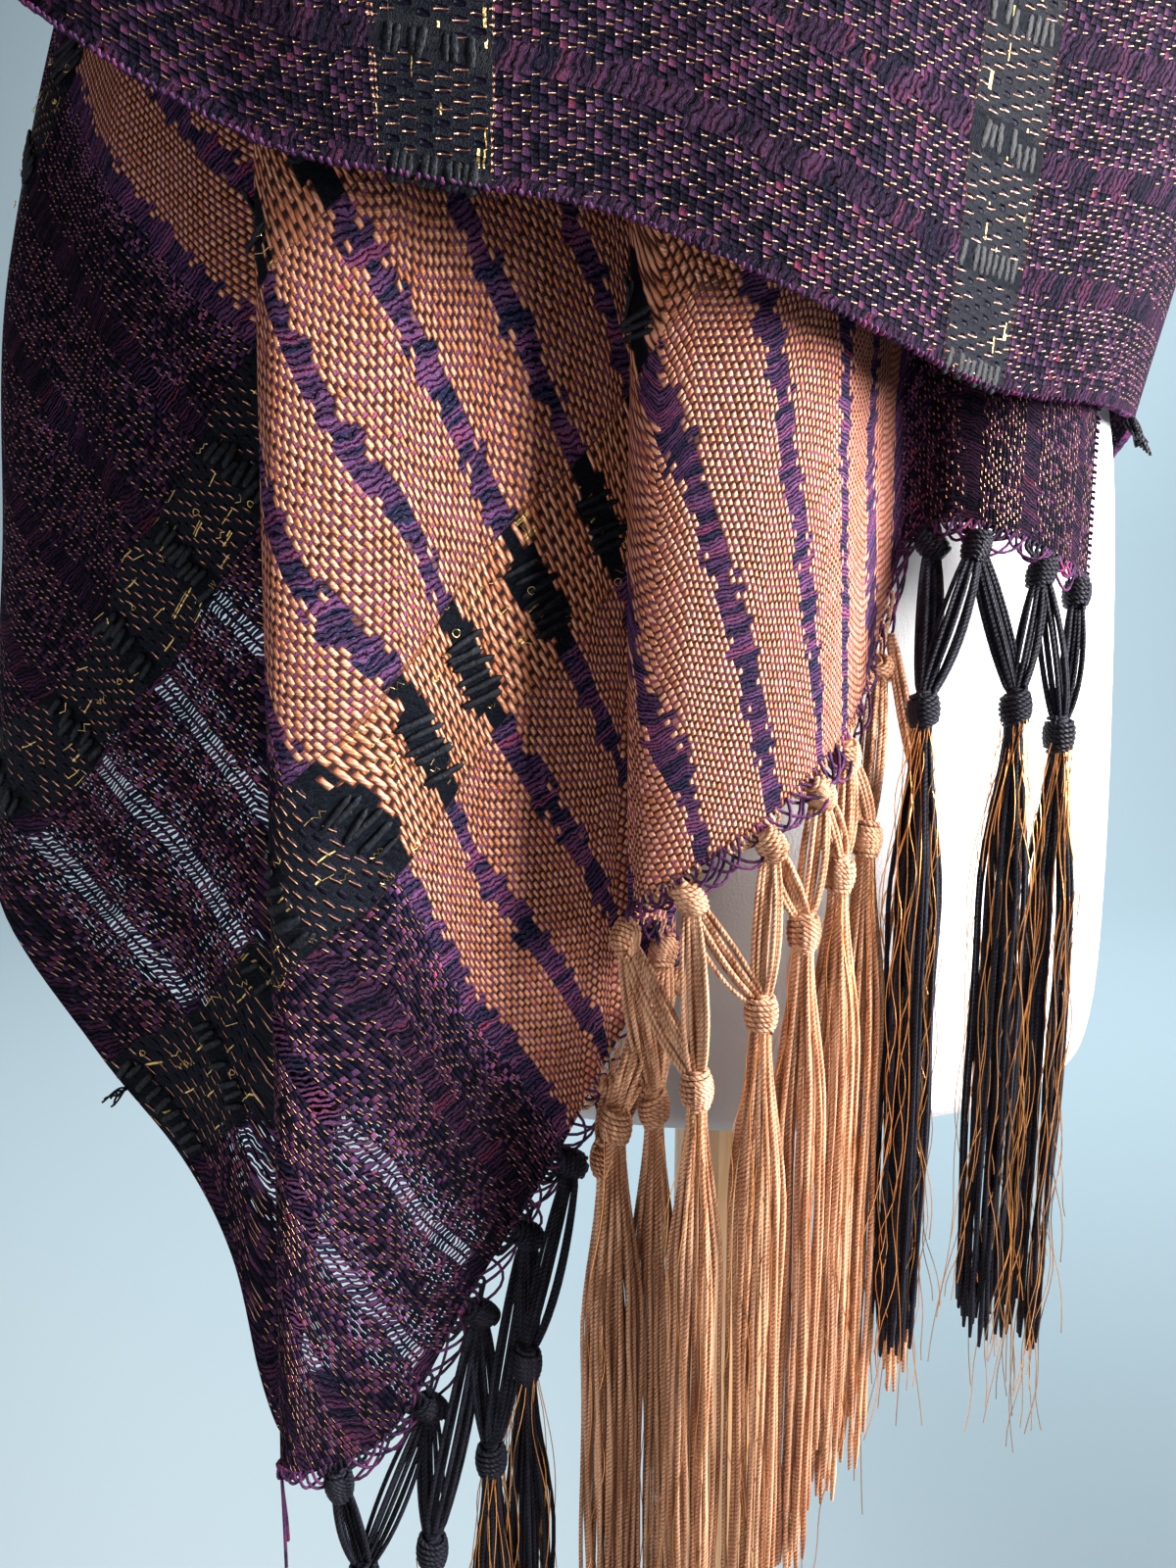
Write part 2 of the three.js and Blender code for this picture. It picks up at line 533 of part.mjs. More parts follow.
// The thrown end's fringe. Its hem is counted from the lower selvedge to the neck.
const BACK_FRINGE = {
  dark_hem: { colour: COLOURS.blackYarn, hem: [0, 3.9], knots: [0.5, 1.5, 2.5, 3.5], strands: 5 },
  tan: { colour: COLOURS.tanYarn, hem: [4.1, 9.9], knots: [4.6, 5.7, 6.7, 7.7, 8.7, 9.5], strands: 5 },
  dark_neck: { colour: COLOURS.blackYarn, hem: [10.1, 13], knots: [10.6, 11.6, 12.6], strands: 5 },
};
const BACK_TASSEL_DROP = 44;

function addShawl() {
  const front = frontGrid();
  add('front_end', clothWall(front), COLOURS.darkCloth);
  for (const [name, part] of Object.entries(FRONT_FRINGE)) {
    const tassels = part.tassels.map((p) => new THREE.Vector3(...p));
    add(`fringe_front_${name}`, fringe(front, part, tassels), part.colour);
  }

  const stretches = { left_shoulder: [0, 2], back_stretch: [2, 4], right_shoulder: [4, 7],
    front_crossing: [7, 14], thrown_end: [14, 19] };
  let thrown;
  for (const [name, [from, to]] of Object.entries(stretches)) {
    const { grid, normals } = wrapStretch(from, to);
    add(name, clothWall(grid, normals), COLOURS.darkCloth);
    thrown = grid;
  }

  // Its last column is turned into the lower row.
  const hanging = thrown[0].map((_, j) => thrown.map((row) => row[j]).reverse());
  for (const [name, part] of Object.entries(BACK_FRINGE)) {
    const tassels = part.knots.slice(1).map((place, k) => {
      const between = belowHem(hanging, (part.knots[k] + place) / 2, 0);
      return between.add(new THREE.Vector3(0, 2, -BACK_TASSEL_DROP));
    });
    add(`fringe_back_${name}`, fringe(hanging, part, tassels), part.colour);
  }
}

kit = await Module();
kit.setup();
addStand();
addShawl();

export default model;
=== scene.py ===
"""A handwoven shawl with a knotted fringe, wound round a limbless dress form on a wooden stand."""
import math

import bpy
import numpy as np
from mathutils import Matrix, Vector


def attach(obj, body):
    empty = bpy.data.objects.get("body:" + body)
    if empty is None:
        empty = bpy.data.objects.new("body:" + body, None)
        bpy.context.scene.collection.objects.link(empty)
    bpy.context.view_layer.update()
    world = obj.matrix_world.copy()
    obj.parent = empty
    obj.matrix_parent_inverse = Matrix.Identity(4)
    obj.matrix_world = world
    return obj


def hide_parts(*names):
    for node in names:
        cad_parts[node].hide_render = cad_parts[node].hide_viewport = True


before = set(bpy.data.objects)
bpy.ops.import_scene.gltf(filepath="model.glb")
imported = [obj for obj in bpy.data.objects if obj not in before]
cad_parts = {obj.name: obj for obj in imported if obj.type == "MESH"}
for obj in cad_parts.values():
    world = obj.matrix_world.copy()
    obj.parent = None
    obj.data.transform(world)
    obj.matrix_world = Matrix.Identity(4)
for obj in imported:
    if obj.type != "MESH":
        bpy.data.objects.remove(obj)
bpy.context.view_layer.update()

# ---------------------------------------------------------------------------------------------------------
# Torso of the dress form. A hollow shell of adult size, covered in one smooth skin of white jersey, with a
# rounded lower rim. It ends in a short neck and carries all the cloth.

MM = 0.001
RIM_HEIGHT = 820
TORSO_SIDES = 96
TORSO_STEPS = 8                     # rings from one section to the next
# height above the rim, half width, half depth, and how far the section thins to its sides
TORSO_SECTIONS = [
    (0, 146, 95, 0), (5, 155, 104, 0), (18, 162, 110, 0), (60, 165, 113, 0), (150, 163, 112, 0),
    (260, 156, 107, 0), (340, 142, 99, 0), (420, 148, 106, 0), (480, 162, 110, 0.1), (535, 177, 98, 0.4),
    (569, 179, 80, 0.8), (595.5, 151, 64, 1), (616, 110, 55, 1), (629, 78, 50, 0.7), (642, 57, 48, 0),
    (668, 53, 47, 0),
]


def smooth_run(points, places):
    """Catmull-Rom curve through an array of points, at places counted in its steps."""
    points = np.asarray(points, float)
    places = np.asarray(places, float)
    start = np.clip(np.floor(places).astype(int), 0, len(points) - 2)
    t = (places - start).reshape((-1,) + (1,) * (points.ndim - 1))
    before = 2 * points[0] - points[1]
    after = 2 * points[-1] - points[-2]
    run = np.concatenate([[before], points, [after]])
    p0, p1, p2, p3 = run[start], run[start + 1], run[start + 2], run[start + 3]
    return 0.5 * (2 * p1 + (p2 - p0) * t + (2 * p0 - 5 * p1 + 4 * p2 - p3) * t ** 2
                  + (3 * p1 - p0 - 3 * p2 + p3) * t ** 3)


def piece_from(name, points, faces, material, smooth=True):
    """A mesh object at the origin, with its points in metres."""
    mesh = bpy.data.meshes.new(name)
    mesh.from_pydata([tuple(p) for p in points], [], [tuple(f) for f in faces])
    mesh.polygons.foreach_set("use_smooth", [smooth] * len(mesh.polygons))
    mesh.materials.append(material)
    piece = bpy.data.objects.new(name, mesh)
    bpy.context.collection.objects.link(piece)
    return piece


def ring_faces(rings, sides):
    """Faces between closed rings of points, with a cap at each end."""
    faces = []
    for r in range(rings - 1):
        for k in range(sides):
            a = r * sides + k
            b = r * sides + (k + 1) % sides
            faces.append((a, b, b + sides, a + sides))
    faces.append(tuple(range(sides - 1, -1, -1)))
    faces.append(tuple(range((rings - 1) * sides, rings * sides)))
    return faces


class Wiring:
    """Adds nodes to a material and joins them. A value given to a node is a number or another's output."""

    def __init__(self, name):
        self.material = bpy.data.materials.new(name)
        self.material.use_nodes = True
        self.tree = self.material.node_tree
        self.tree.nodes.clear()
        self.output = self.tree.nodes.new("ShaderNodeOutputMaterial")

    def feed(self, socket, value):
        if isinstance(value, bpy.types.NodeSocket):
            self.tree.links.new(value, socket)
        else:
            socket.default_value = value

    def node(self, kind, settings=None, **inputs):
        node = self.tree.nodes.new(kind)
        for key, value in (settings or {}).items():
            setattr(node, key, value)
        for key, value in inputs.items():
            self.feed(node.inputs[key.replace("_", " ")], value)
        return node

    def maths(self, operation, *values):
        node = self.tree.nodes.new("ShaderNodeMath")
        node.operation = operation
        for socket, value in zip(node.inputs, values):
            self.feed(socket, value)
        return node.outputs[0]

    def add(self, a, b):
        return self.maths("ADD", a, b)

    def subtract(self, a, b):
        return self.maths("SUBTRACT", a, b)

    def times(self, a, b):
        return self.maths("MULTIPLY", a, b)

    def inverse(self, a):
        """What is left of 1."""
        return self.maths("SUBTRACT", 1.0, a)

    def absolute(self, a):
        return self.maths("ABSOLUTE", a)

    def floor(self, a):
        return self.maths("FLOOR", a)

    def fract(self, a):
        return self.maths("FRACT", a)

    def power(self, a, b):
        return self.maths("POWER", a, b)

    def step_between(self, value, low, high):
        """0 below low, 1 above high, and smooth between them."""
        node = self.node("ShaderNodeMapRange", {"interpolation_type": "SMOOTHSTEP"})
        for socket, number in zip(node.inputs, (value, low, high, 0.0, 1.0)):
            self.feed(socket, number)
        return node.outputs[0]

    def blend(self, share, first, second):
        """A mix of two numbers."""
        node = self.tree.nodes.new("ShaderNodeMix")
        node.data_type = "FLOAT"
        for index, value in ((0, share), (2, first), (3, second)):
            self.feed(node.inputs[index], value)
        return node.outputs[0]

    def tint(self, share, first, second, mode="MIX"):
        """A mix of two colours."""
        node = self.tree.nodes.new("ShaderNodeMix")
        node.data_type = "RGBA"
        node.blend_type = mode
        for index, value in ((0, share), (6, first), (7, second)):
            self.feed(node.inputs[index], value)
        return node.outputs[2]

    def noise(self, place, scale, detail=2.0):
        node = self.node("ShaderNodeTexNoise", None, Vector=place, Scale=scale, Detail=detail)
        return node.outputs["Fac"]

    def chance(self, x, y):
        """A random number from 0 to 1 for each whole pair of x and y."""
        place = self.node("ShaderNodeCombineXYZ", None, X=x, Y=y).outputs[0]
        return self.node("ShaderNodeTexWhiteNoise", {"noise_dimensions": "2D"}, Vector=place).outputs[0]

    def finish(self, shader):
        self.tree.links.new(shader, self.output.inputs["Surface"])
        return self.material


def jersey_material():
    wires = Wiring("white jersey")
    place = wires.node("ShaderNodeTexCoord").outputs["Object"]
    soft = wires.noise(place, 9.0, 3.0)
    rib = wires.node("ShaderNodeTexVoronoi", None, Vector=place, Scale=900.0).outputs["Distance"]
    colour = wires.tint(soft, (0.72, 0.77, 0.81, 1), (0.82, 0.86, 0.90, 1))
    bump = wires.node("ShaderNodeBump", None, Strength=0.25, Distance=0.0004, Height=rib)
    skin = wires.node("ShaderNodeBsdfPrincipled", None, Base_Color=colour, Roughness=0.75,
                      Sheen_Weight=0.2, Normal=bump.outputs[0])
    return wires.finish(skin.outputs[0])


def oval_section(up, wide, deep, thin):
    turn = np.linspace(0, 2 * math.pi, TORSO_SIDES, endpoint=False)
    sine = np.sin(turn)
    reach = deep * sine * (1 + (np.abs(sine) - 1) * thin)
    return np.stack([wide * np.cos(turn), reach, np.full(TORSO_SIDES, RIM_HEIGHT + up)], axis=1)


section_places = np.linspace(0, len(TORSO_SECTIONS) - 1, (len(TORSO_SECTIONS) - 1) * TORSO_STEPS + 1)
torso_sections = smooth_run(TORSO_SECTIONS, section_places)
torso_points = np.concatenate([oval_section(*section) for section in torso_sections]) * MM
torso = piece_from("torso", torso_points, ring_faces(len(torso_sections), TORSO_SIDES), jersey_material())
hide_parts("form_torso")
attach(torso, "root")

# ---------------------------------------------------------------------------------------------------------
# Neck cap, pole and base of the stand. Turned from a pale, straight-grained wood and finished with a satin
# varnish. The pole stands in the base and goes up into the torso.


def wood_material(name, along):
    """Pale wood whose grain runs along Z, or across in X for a flat board."""
    wires = Wiring(name)
    place = wires.node("ShaderNodeTexCoord").outputs["Object"]
    stretch = (40.0, 40.0, 2.5) if along == "Z" else (2.5, 40.0, 40.0)
    grain_place = wires.node("ShaderNodeMapping", None, Vector=place, Scale=stretch).outputs[0]
    grain = wires.noise(grain_place, 1.0, 6.0)
    fine = wires.noise(grain_place, 7.0, 3.0)
    mixed = wires.add(wires.times(grain, 0.7), wires.times(fine, 0.3))
    tone = wires.tint(wires.step_between(mixed, 0.35, 0.65), (0.42, 0.24, 0.11, 1), (0.66, 0.43, 0.24, 1))
    bump = wires.node("ShaderNodeBump", None, Strength=0.15, Distance=0.0006, Height=mixed)
    skin = wires.node("ShaderNodeBsdfPrincipled", None, Base_Color=tone, Roughness=0.42,
                      Coat_Weight=0.15, Normal=bump.outputs[0])
    return wires.finish(skin.outputs[0])


upright_wood = wood_material("pale wood, upright grain", "Z")
board_wood = wood_material("pale wood, flat board", "X")
for node_name, wood in (("pole", upright_wood), ("neck_cap", board_wood), ("base", board_wood)):
    for material_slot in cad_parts[node_name].material_slots:
        material_slot.material = wood

# ---------------------------------------------------------------------------------------------------------
# The weave of the shawl. Groups of thirteen warp ends lie between ladders of bare weft four ends wide. The
# warp is shiny and tan in the middle groups, and navy with a copper thread in the outer ones. The weft is a
# soft wool dyed in plum, navy and magenta, and bands of black ribbon and gold thread cross the cloth.

SLOTS = 17.0                        # a group of 13 ends and a ladder 4 ends wide
LADDER = 4.0
TAN_FROM, TAN_TO = 6.0, 16.0        # the groups of the tan stripe
PICK_PITCH = 2.4                    # mm from one weft pick to the next, in the middle of the shawl
END_PICK_PITCH = 1.6                # and in its denser ends
GROUP_PITCH = 33.0                  # mm from one ladder to the next
BAND_HALF_WIDTH = 16.0              # mm


def weave_material():
    w = Wiring("handwoven cloth")
    place = w.node("ShaderNodeTexCoord").outputs["Object"]
    weave = w.node("ShaderNodeUVMap", {"uv_map": "weave"}).outputs[0]
    split = w.node("ShaderNodeSeparateXYZ", None, Vector=weave)
    wander = w.subtract(w.noise(place, 260.0, 1.0), 0.5)
    across = w.add(split.outputs[0], w.times(wander, 0.5))
    along = w.add(split.outputs[1], w.times(w.subtract(w.noise(place, 190.0, 1.0), 0.5), 0.6))
    from_band = w.node("ShaderNodeAttribute", {"attribute_name": "band"}).outputs["Fac"]
    openness = w.node("ShaderNodeAttribute", {"attribute_name": "open"}).outputs["Fac"]

    # which stripe, ladder and band a place is in; the edges of a ladder are ragged
    group = w.maths("DIVIDE", across, SLOTS)
    ladder_index = w.maths("ROUND", group)
    ragged = w.subtract(w.chance(w.floor(along), ladder_index), 0.5)
    from_ladder = w.absolute(w.subtract(across, w.times(ladder_index, SLOTS)))
    tan = w.times(w.step_between(group, TAN_FROM - 0.02, TAN_FROM + 0.02),
                  w.inverse(w.step_between(group, TAN_TO - 0.02, TAN_TO + 0.02)))
    band_edge = w.add(from_band, w.times(ragged, 1.5))
    band = w.inverse(w.step_between(band_edge, BAND_HALF_WIDTH - 0.3, BAND_HALF_WIDTH + 0.3))
    widened = w.inverse(w.step_between(from_band, 8.0, 10.5))

    # the plain weave: each end floats over every other pick, and over longer picks in a band
    end = w.floor(across)
    aside = w.subtract(w.fract(across), 0.5)
    odd = w.maths("FLOORED_MODULO", end, 2.0)
    run = w.add(w.maths("DIVIDE", along, w.blend(band, 2.0, 4.0)), w.times(odd, 0.5))
    float_index = w.floor(run)
    lengthwise = w.subtract(w.fract(run), 0.5)
    rand = w.chance(end, float_index)
    end_from_ladder = w.absolute(w.subtract(w.add(end, 0.5), w.times(ladder_index, SLOTS)))
    ladder = w.add(end_from_ladder, w.times(w.subtract(rand, 0.5), w.blend(tan, 1.4, 1.9)))
    ladder = w.subtract(ladder, w.times(w.times(widened, tan), 1.5))
    ladder = w.inverse(w.step_between(ladder, LADDER / 2 - 0.05, LADDER / 2 + 0.05))
    reach = w.blend(band, w.blend(tan, 0.3, 0.4), w.blend(tan, 0.2, 0.42))
    thin = w.blend(tan, 2.3, 2.15)
    dome_across = w.inverse(w.power(w.absolute(w.times(aside, thin)), 2.0))
    dome_along = w.power(w.absolute(w.maths("DIVIDE", lengthwise, reach)), 3.0)
    dome_along = w.inverse(dome_along)
    warp_dome = w.times(w.maths("MAXIMUM", dome_across, 0.0), w.maths("MAXIMUM", dome_along, 0.0))
    warp_dome = w.maths("SQRT", warp_dome)
    warp_shows = w.times(w.step_between(warp_dome, 0.1, 0.35), w.inverse(ladder))

    # the weft between the floats: a bead over each end
    from_pick = w.subtract(0.5, w.absolute(lengthwise))
    bead_along = w.power(w.maths("DIVIDE", from_pick, w.times(w.subtract(0.52, reach), 1.5)), 2.0)
    bead_across = w.power(w.absolute(w.times(aside, 1.55)), 2.0)
    bead_across = w.times(bead_across, w.blend(band, 1.0, 0.2))
    bead = w.maths("MAXIMUM", w.inverse(w.add(bead_along, bead_across)), 0.0)
    bead = w.times(w.maths("SQRT", bead), w.blend(tan, 0.85, 0.4))

    # the bare weft in the ladders: loose slanted rungs
    slant = w.times(w.subtract(across, w.times(ladder_index, SLOTS)), 0.36)
    rung = w.add(w.times(along, w.blend(band, 1.0, 0.45)), w.add(slant, w.times(wander, 1.5)))
    rung_aside = w.absolute(w.subtract(w.fract(rung), 0.5))
    rung_chance = w.chance(w.floor(rung), ladder_index)
    loose = w.step_between(openness, 0.5, 0.8)
    rung_width = w.subtract(w.blend(band, 0.5, 0.62), w.times(loose, w.add(0.07, w.times(rung_chance, 0.14))))
    rung_dome = w.inverse(w.power(w.maths("DIVIDE", rung_aside, rung_width), 2.0))
    rung_dome = w.maths("MAXIMUM", rung_dome, 0.0)
    loose_hair = w.times(w.subtract(w.noise(place, 1300.0, 4.0), 0.5), 2.4)
    # painted light and shade: the crown of each rung is lighter and the space between the rungs darker, with
    # loose hairs mixed in
    rung_painted_light = w.step_between(w.add(rung_dome, loose_hair), 0.3, 0.95)
    height = w.maths("MAXIMUM", w.times(warp_dome, w.inverse(ladder)),
                     w.blend(ladder, bead, w.times(w.maths("SQRT", rung_dome), 0.7)))

    # fibres of the wool, and the twist of the warp
    strands = w.node("ShaderNodeCombineXYZ", None, X=w.times(across, 0.5),
                     Y=w.times(w.add(along, slant), 3.4)).outputs[0]
    strands = w.noise(strands, 2.4, 4.0)
    fibre = w.noise(place, 2400.0, 3.0)
    ply = w.maths("SINE", w.times(w.add(w.times(aside, 1.1), w.times(lengthwise, 2.2)), 10.0))
    height = w.add(height, w.times(w.times(ply, 0.06), warp_shows))
    fuzz = w.times(w.subtract(fibre, 0.5), w.blend(warp_shows, 0.5, 0.1))
    height = w.add(height, w.add(fuzz, w.times(w.subtract(strands, 0.5), w.times(ladder, 0.9))))

    # the wool is dyed in plum, navy and magenta, which change slowly along each pick
    pick = w.floor(w.add(w.blend(ladder, along, rung), 0.5))
    dye_place = w.node("ShaderNodeCombineXYZ", None, X=w.times(across, 0.11), Y=w.times(pick, 0.37))
    dye = w.noise(dye_place.outputs[0], 1.0, 3.0)
    bead_chance = w.chance(w.add(end, 0.5), w.floor(w.add(run, 0.5)))
    dye = w.add(w.times(dye, 0.7), w.times(w.blend(ladder, bead_chance, w.chance(pick, ladder_index)), 0.3))
    ramp = w.node("ShaderNodeValToRGB", None, Fac=dye)
    stops = ramp.color_ramp.elements
    stops[0].position, stops[0].color = 0.26, (0.008, 0.012, 0.032, 1)
    stops[1].position, stops[1].color = 0.82, (0.24, 0.03, 0.06, 1)
    for position, colour in ((0.38, (0.010, 0.014, 0.038, 1)), (0.48, (0.040, 0.018, 0.055, 1)),
                             (0.58, (0.088, 0.038, 0.105, 1)), (0.70, (0.15, 0.04, 0.10, 1))):
        stop = stops.new(position)
        stop.color = colour
    fibre_tone = w.blend(ladder, fibre, w.times(w.add(strands, fibre), 0.5))
    tone = w.add(w.blend(ladder, 0.5, 0.05), w.times(fibre_tone, w.blend(ladder, 1.0, 2.2)))
    silk_side = w.times(w.step_between(group, TAN_FROM - 0.5, TAN_FROM - 0.1),
                        w.inverse(w.step_between(group, TAN_TO + 0.1, TAN_TO + 0.5)))
    # the wool is darker in the navy sides than in the tan stripe; where the navy cloth stands open it is
    # lightened, as painted light shining through from behind
    tone = w.times(tone, w.blend(silk_side, w.add(0.5, w.times(openness, 0.7)), 1.95))
    bead_tone = w.add(0.35, w.times(bead_chance, 1.3))
    # in the ladders the tone follows the painted light and shade on the rungs; elsewhere it varies at random
    # from bead to bead
    tone = w.times(tone, w.blend(ladder, bead_tone, w.add(0.16, rung_painted_light)))
    grey = w.node("ShaderNodeCombineXYZ", None, X=tone, Y=tone, Z=tone).outputs[0]
    wool = w.tint(1.0, ramp.outputs[0], grey, "MULTIPLY")
    # light mauve flecks along the strands: stray fibres, and partly a painted sheen on the fuzz, most of it
    # in the tan stripe and the ladders
    hair_and_sheen = w.times(w.blend(silk_side, 0.3, 1.0), w.blend(ladder, 0.25, 0.75))
    hair_and_sheen = w.times(w.step_between(strands, 0.56, 0.72), hair_and_sheen)
    wool = w.tint(hair_and_sheen, wool, (0.36, 0.22, 0.38, 1))
    ribbon = w.tint(w.step_between(strands, 0.4, 0.8), (0.005, 0.006, 0.010, 1), (0.020, 0.030, 0.045, 1))
    weft_colour = w.tint(band, wool, ribbon)

    # the warp: tan silk, or navy with a copper thread slanting across each float
    peach = w.tint(rand, (0.66, 0.24, 0.12, 1), (0.93, 0.50, 0.33, 1))
    # painted highlight and shade: each tan float is palest on its crown and darkens to brown at its ends and
    # sides
    peach = w.tint(w.step_between(warp_dome, 0.45, 0.98), (0.48, 0.16, 0.08, 1), peach)
    navy = w.tint(rand, (0.005, 0.005, 0.012, 1), (0.016, 0.014, 0.034, 1))
    colour = w.tint(warp_shows, weft_colour, w.tint(tan, navy, peach))
    from_thread = w.add(aside, w.add(w.times(lengthwise, 0.5), w.times(w.subtract(rand, 0.5), 0.5)))
    thread = w.inverse(w.step_between(w.absolute(from_thread), 0.05, 0.115))
    short = w.step_between(w.subtract(0.24, w.absolute(lengthwise)), 0.0, 0.05)
    copper = w.times(w.times(thread, short), w.maths("GREATER_THAN", rand, 0.32))
    copper = w.times(w.times(copper, w.inverse(ladder)), w.inverse(tan))
    colour = w.tint(copper, colour, w.tint(rand, (0.46, 0.15, 0.06, 1), (0.95, 0.52, 0.30, 1)))
    height = w.add(height, w.times(copper, 0.35))
    gold_place = w.add(0.3, w.times(ragged, 0.4))
    gold_line = w.absolute(w.subtract(w.fract(w.times(along, 0.4)), gold_place))
    gold = w.times(band, w.maths("LESS_THAN", w.chance(pick, w.floor(w.times(across, 0.4))), 0.09))
    gold = w.times(gold, w.inverse(w.step_between(gold_line, 0.04, 0.08)))
    colour = w.tint(gold, colour, (0.95, 0.68, 0.25, 1))
    # painted shade: where the cloth lies low between the yarns its colour is darkened, to near black, and to
    # a dark brown in the tan stripe
    crevice_shade = w.step_between(height, 0.0, 0.6)
    tan_weave = w.times(tan, w.inverse(ladder))
    shade_between_floats = w.tint(tan_weave, (0.004, 0.002, 0.006, 1), (0.13, 0.045, 0.035, 1))
    colour = w.tint(w.blend(crevice_shade, 0.9, 0.0), colour, shade_between_floats)

    # holes: between the rungs of an open ladder, and pinholes where the yarns lie loose
    cell = w.subtract(0.75, w.absolute(w.subtract(from_ladder, 0.95)))
    slit = w.inverse(w.step_between(rung_dome, 0.0, 0.08))
    gap = w.times(slit, w.times(loose, w.step_between(cell, 0.0, 0.2)))
    corner = w.times(w.step_between(w.absolute(aside), 0.3, 0.42),
                     w.step_between(w.absolute(lengthwise), 0.2, 0.3))
    few = w.maths("LESS_THAN", rand, w.times(openness, 0.35))
    holes = w.blend(ladder, w.times(corner, few), gap)

    # copper and gold are metal, the silk and the ribbon shine, and the wool is dull
    metal = w.maths("MAXIMUM", w.maths("MAXIMUM", copper, gold), w.times(w.times(warp_shows, tan), 0.25))
    rough = w.blend(w.times(warp_shows, tan), w.blend(band, 0.8, 0.42), 0.34)
    rough = w.blend(metal, rough, 0.32)
    bump = w.node("ShaderNodeBump", None, Strength=1.0, Distance=0.0011, Height=height)
    skin = w.node("ShaderNodeBsdfPrincipled", None, Base_Color=colour, Roughness=rough, Metallic=metal,
                  Specular_IOR_Level=0.05, Alpha=w.inverse(holes), Normal=bump.outputs[0])
    return w.finish(skin.outputs[0])


woven_cloth = weave_material()


def cloth_piece(name, grid, weave, band, openness):
    """One layer of cloth through a grid of points in mm, with its place in the weave at each point."""
    rows, columns = grid.shape[:2]
    corner = np.arange(rows * columns).reshape(rows, columns)
    corners = (corner[:-1, :-1], corner[1:, :-1], corner[1:, 1:], corner[:-1, 1:])
    quads = np.stack(corners, axis=-1).reshape(-1, 4)
    mesh = bpy.data.meshes.new(name)
    mesh.from_pydata((grid.reshape(-1, 3) * MM).tolist(), [], quads.tolist())
    mesh.polygons.foreach_set("use_smooth", [True] * len(mesh.polygons))
    layer = mesh.uv_layers.new(name="weave")
    layer.data.foreach_set("uv", weave.reshape(-1, 2)[quads.reshape(-1)].astype(np.float32).reshape(-1))
    for label, values in (("band", band), ("open", openness)):
        attribute = mesh.attributes.new(label, "FLOAT", "POINT")
        attribute.data.foreach_set("value", values.astype(np.float32).reshape(-1))
    mesh.materials.append(woven_cloth)
    piece = bpy.data.objects.new(name, mesh)
    bpy.context.collection.objects.link(piece)
    return piece


# ---------------------------------------------------------------------------------------------------------
# The first end of the shawl. It comes over the left-hand shoulder and hangs down the front in four panels
# between deep folds. Its corner and its left selvedge hang lowest, so the warp runs down to the right.

CHEST_HEIGHT = 1290
WAIST_HEIGHT = 1150
FRONT_ROWS = 210
STEPS_PER_COLUMN = 9
# place on the shoulder ridge, at the chest, the waist and the rim's height (x, y), and the hem's height
FRONT_COLUMNS = [
    (-196, (-232, -7), (-268, -14.5), (-316, -36), 1000),
    (-193, (-234, -48), (-276, -62), (-312, -84), 958),
    (-189, (-224, -84), (-262, -104), (-286, -128), 921),
    (-184, (-209, -100), (-234, -122), (-240, -146), 874),
    (-180, (-197, -108), (-206, -135), (-208, -152), 838),
    (-176, (-188, -112), (-181, -143), (-190, -157), 805),
    (-171, (-176, -115), (-146, -144), (-176, -162), 766),
    (-167, (-163, -117), (-110, -138), (-163, -165), 750),
    (-165, (-157, -119), (-103, -145), (-157, -170), 747),
    (-163, (-157, -125), (-114, -153), (-160, -174), 746),
    (-161, (-163, -135), (-156, -172), (-166, -177), 744),
    (-158, (-160, -142), (-157, -181), (-167, -183), 743),
    (-154, (-148, -145), (-142, -183), (-156, -184), 742),
    (-148, (-130, -143), (-120, -178), (-131, -175), 750),
    (-141, (-110, -137), (-96, -167), (-105, -163), 796),
    (-134, (-92, -132), (-72, -155), (-82, -153), 832),
    (-129, (-78, -129), (-54, -147), (-66, -148), 864),
    (-126, (-68, -128), (-38, -141), (-46, -141), 902),
    (-124, (-65, -130), (-31, -146), (-40, -147), 914),
    (-122, (-67, -136), (-40, -155), (-44, -156), 922),
    (-120, (-71, -144), (-55, -168), (-53, -168), 929),
    (-117, (-66, -151), (-53, -175), (-51, -175), 935),
    (-113, (-54, -154), (-38, -179), (-37, -178), 945),
    (-108, (-37, -152), (-15, -178), (-14, -176), 960),
    (-103, (-24, -147), (5, -168), (5, -167), 977),
    (-98, (-12, -139), (20, -146), (20, -145), 989),
    (-93, (-2, -130), (31, -124), (32, -125), 1008),
    (-88, (7, -126), (42, -116), (43, -118), 1046),
    (-83, (17, -130), (55, -124), (56, -126), 1054),
    (-78, (31, -132), (76, -127), (76, -129), 1049),
    (-73, (45, -130), (97, -119), (97, -121), 1040),
    (-68, (54, -125), (109, -107), (110, -109), 1035),
]
RIDGE_TIP = (-196, 1392)            # x and height of the shoulder ridge, at its tip and at the neck
RIDGE_NECK = (-68, 1462)
COLLAR_DROP = 0.22
COLLAR_SHIFT = 0.18
COLLAR_CLEARANCE = 12


def between(a, b, share):
    return a + (b - a) * share


def torso_front(x, z):
    """How far the torso's front lies from its middle plane, at a place."""
    section = [np.interp(z - RIM_HEIGHT, [s[0] for s in TORSO_SECTIONS], [s[k] for s in TORSO_SECTIONS])
               for k in (1, 2, 3)]
    wide, deep, thin = section
    sine = math.sqrt(max(0.0, 1 - (x / wide) ** 2))
    return deep * sine * (1 + (sine - 1) * thin)


